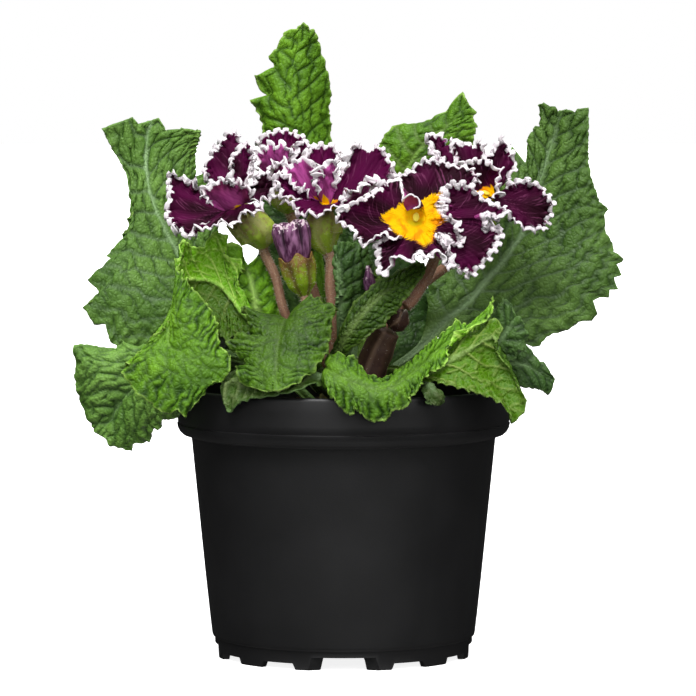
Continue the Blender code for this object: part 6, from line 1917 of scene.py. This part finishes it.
def gap_cutter(n):
    """A wedge of the ring under the wall: height, and half its angle in degrees outside and inside."""
    height, outer, inner = WIDE_GAP if n % 3 == 0 else NARROW_GAP
    middle = 360 / GAPS * n - 90
    spread = np.linspace(-1, 1, 9)
    rings = []
    for level, wider in ((-1.0, GAP_SPREAD), (height, 0.0)):
        turns = np.radians(middle + spread * (outer + wider))
        back = np.radians(middle - spread * (inner + wider))
        ring = [(GAP_OUTSIDE * math.cos(a), GAP_OUTSIDE * math.sin(a), level) for a in turns]
        rings.append(ring + [(GAP_INSIDE * math.cos(a), GAP_INSIDE * math.sin(a), level) for a in back])
    return round_solid(np.array(rings))


def drain_cutter(n):
    turn = math.radians(360 / DRAINS * n + 30)
    rings = turned_rings([(DRAIN_RADIUS, 1.0), (DRAIN_RADIUS, 9.0)], DRAIN_SIDES)
    return round_solid(rings + (DRAIN_CIRCLE * math.cos(turn), DRAIN_CIRCLE * math.sin(turn), 0))


def cut_away(piece, cutters):
    """Cuts the solids out of the piece for good."""
    points = np.concatenate([cutter[0] for cutter in cutters])
    starts = np.cumsum([0] + [len(cutter[0]) for cutter in cutters])
    faces = np.concatenate([cutter[1] + start for cutter, start in zip(cutters, starts)])
    mesh = bpy.data.meshes.new("cutter")
    mesh.from_pydata(points * MM, [], faces.tolist())
    mesh.materials.append(piece.data.materials[0])
    tool = bpy.data.objects.new("cutter", mesh)
    scene.collection.objects.link(tool)
    step = piece.modifiers.new("cut", "BOOLEAN")
    step.operation = "DIFFERENCE"
    step.object = tool
    step.solver = "EXACT"
    bpy.context.view_layer.update()
    graph = bpy.context.evaluated_depsgraph_get()
    cut = bpy.data.meshes.new_from_object(piece.evaluated_get(graph))
    piece.modifiers.clear()
    piece.data = cut
    piece.data.shade_smooth()
    piece.data.set_sharp_from_angle(angle=math.radians(SHARP_FROM))
    bpy.data.objects.remove(tool, do_unlink=True)
    print(piece.name, "faces after cutting:", len(cut.polygons))


cut_away(pot, [gap_cutter(n) for n in range(GAPS)] + [drain_cutter(n) for n in range(DRAINS)])

# %% [markdown]
# The compost is milled peat: dark brown, matt, a felt of fibres and crumbs. Its top is a low mound. It
# is roughened by slow waves, finer ones and a step for each crumb, and strewn with small lumps, each
# a ball of rings pushed in and out. None is put where the crown and the thick stalk stand.

# %% Soil
SOIL_SIDES = 120
SOIL_TOP_ROWS = 44
SOIL_EDGE = 75.7
SOIL_EDGE_RADIUS = 48.6
SOIL_MOUND = 3.1
LUMPS = 420
LUMP_REACH = 47.0
LUMP_SIDES = 8
LUMP_TILTS = (-1.2, -0.45, 0.45, 1.2)
CROWN_CLEAR = 9
STALK_FOOT = (6.5, -21)
STALK_CLEAR = 6


def peat_finish():
    # Peat drinks light: no gloss to speak of, nearly black hollows, paler fibres lying on top. Its dust
    # is too fine to show, so crumbs are drawn at 1.5 mm and fibres at 1 mm.
    made, add, shader = new_finish("damp milled peat", Roughness=0.95, Specular_IOR_Level=0.2)
    place = add("TexCoord").outputs["Object"]
    crumbs = add("TexVoronoi", {"Vector": place, "Scale": 650}).outputs["Color"]
    felt = {"Vector": place, "Scale": 900.0, "Detail": 4.0, "Distortion": 2.0}
    fibres = add("TexNoise", felt)
    pale = add("MapRange", {0: fibres, 1: 0.62, 2: 0.7, 4: 0.6})
    body = add("Mix", {0: crumbs, 6: "#1f1610", 7: "#40301f"})
    body = add("Mix", {0: pale, 6: body, 7: "#6d5436"})
    bump = add("Bump", {"Height": fibres, "Distance": 0.6 * MM, "Strength": 1})
    fill(shader, {"Base Color": body, "Normal": bump})
    return made


def make_lump(draw, x, y, z):
    size = 0.5 + 0.9 * draw.random() ** 2
    turn = np.linspace(0, math.tau, LUMP_SIDES, endpoint=False)
    rings = []
    for tilt in LUMP_TILTS:
        wide = size * math.cos(tilt) * (1 + 0.35 * draw.random(LUMP_SIDES))
        up = size * 0.8 * math.sin(tilt) + 0 * turn
        rings.append(np.stack([wide * np.cos(turn), wide * np.sin(turn), up], axis=-1))
    return round_solid(np.array(rings) + (x, y, z))


def make_soil_parts():
    wall = [(0.05, 6.0), (20, 6.0), (37.5, 6.0), (45.0, 68.0), (46.0, 70.5), (49.0, 74.2), (49.2, 75.3)]
    inward = np.linspace(1, 0, SOIL_TOP_ROWS)
    radii = np.linspace(SOIL_EDGE_RADIUS, 0.3, SOIL_TOP_ROWS)
    profile = wall + list(zip(radii, SOIL_EDGE + SOIL_MOUND * (1 - inward**2)))
    rings = turned_rings(profile, SOIL_SIDES)
    x, y = rings[..., 0], rings[..., 1]
    rough = 0.7 * ripple(x, y, 14.0, 401) + 0.45 * ripple(x, y, 4.5, 402)
    rough = rough + 0.3 * (scatter(np.round(x), np.round(y), 3) - 0.5)
    heights = np.array([height for _, height in profile])
    rings[..., 2] += rough * ramp(heights, 75.5, 76.0)[:, None]
    parts = [round_solid(rings)]
    draw = np.random.default_rng(405)
    for n in range(LUMPS):
        reach = LUMP_REACH * math.sqrt(draw.random())
        way = math.tau * draw.random()
        x, y = reach * math.cos(way), reach * math.sin(way)
        if reach < CROWN_CLEAR or math.hypot(x - STALK_FOOT[0], y - STALK_FOOT[1]) < STALK_CLEAR:
            continue
        mound = 75.9 + SOIL_MOUND * (1 - (reach / SOIL_EDGE_RADIUS) ** 2)
        parts.append(make_lump(draw, x, y, mound + 0.3))
    print("lumps of peat:", len(parts) - 1)
    return parts


piece_from("soil_fine", make_soil_parts(), peat_finish(), "peat_soil", "soil")

# %% [markdown]
# The crown is the short rootstock that all leaves spring from. It is corky and brown-green, and
# slightly knobbly where old leaves broke away. It is turned like the pot and then pushed in and out.

# %% Rootstock
CROWN_PROFILE = [
    (0.05, 70), (6.5, 70), (7.1, 73), (7.4, 77), (7.6, 81), (7.4, 83.6), (6.6, 85.0), (5.0, 85.7),
    (2.0, 86.0), (0.05, 86.0),
]
CROWN_SIDES = 64
CROWN_TOP = 86
MOST_SCAR = 1.02

ROOTSTOCK_FINISH = stem_finish("corky rootstock", "#5b4a26", "#6f6a34", "#3a2d18", "#2f2416", 1.8, 0.8)
crown = turned_rings(CROWN_PROFILE, CROWN_SIDES)
turn = np.arctan2(crown[..., 1], crown[..., 0])
scars = 1 + 0.03 * ripple(crown[..., 2] * 2, turn * 7, 5.0, 411)
crown[..., :2] *= np.minimum(scars, MOST_SCAR)[..., None]
crown_parts = [round_solid(crown, {"height": crown[..., 2] / CROWN_TOP})]
piece_from("crown_fine", crown_parts, ROOTSTOCK_FINISH, "rootstock", "crown")
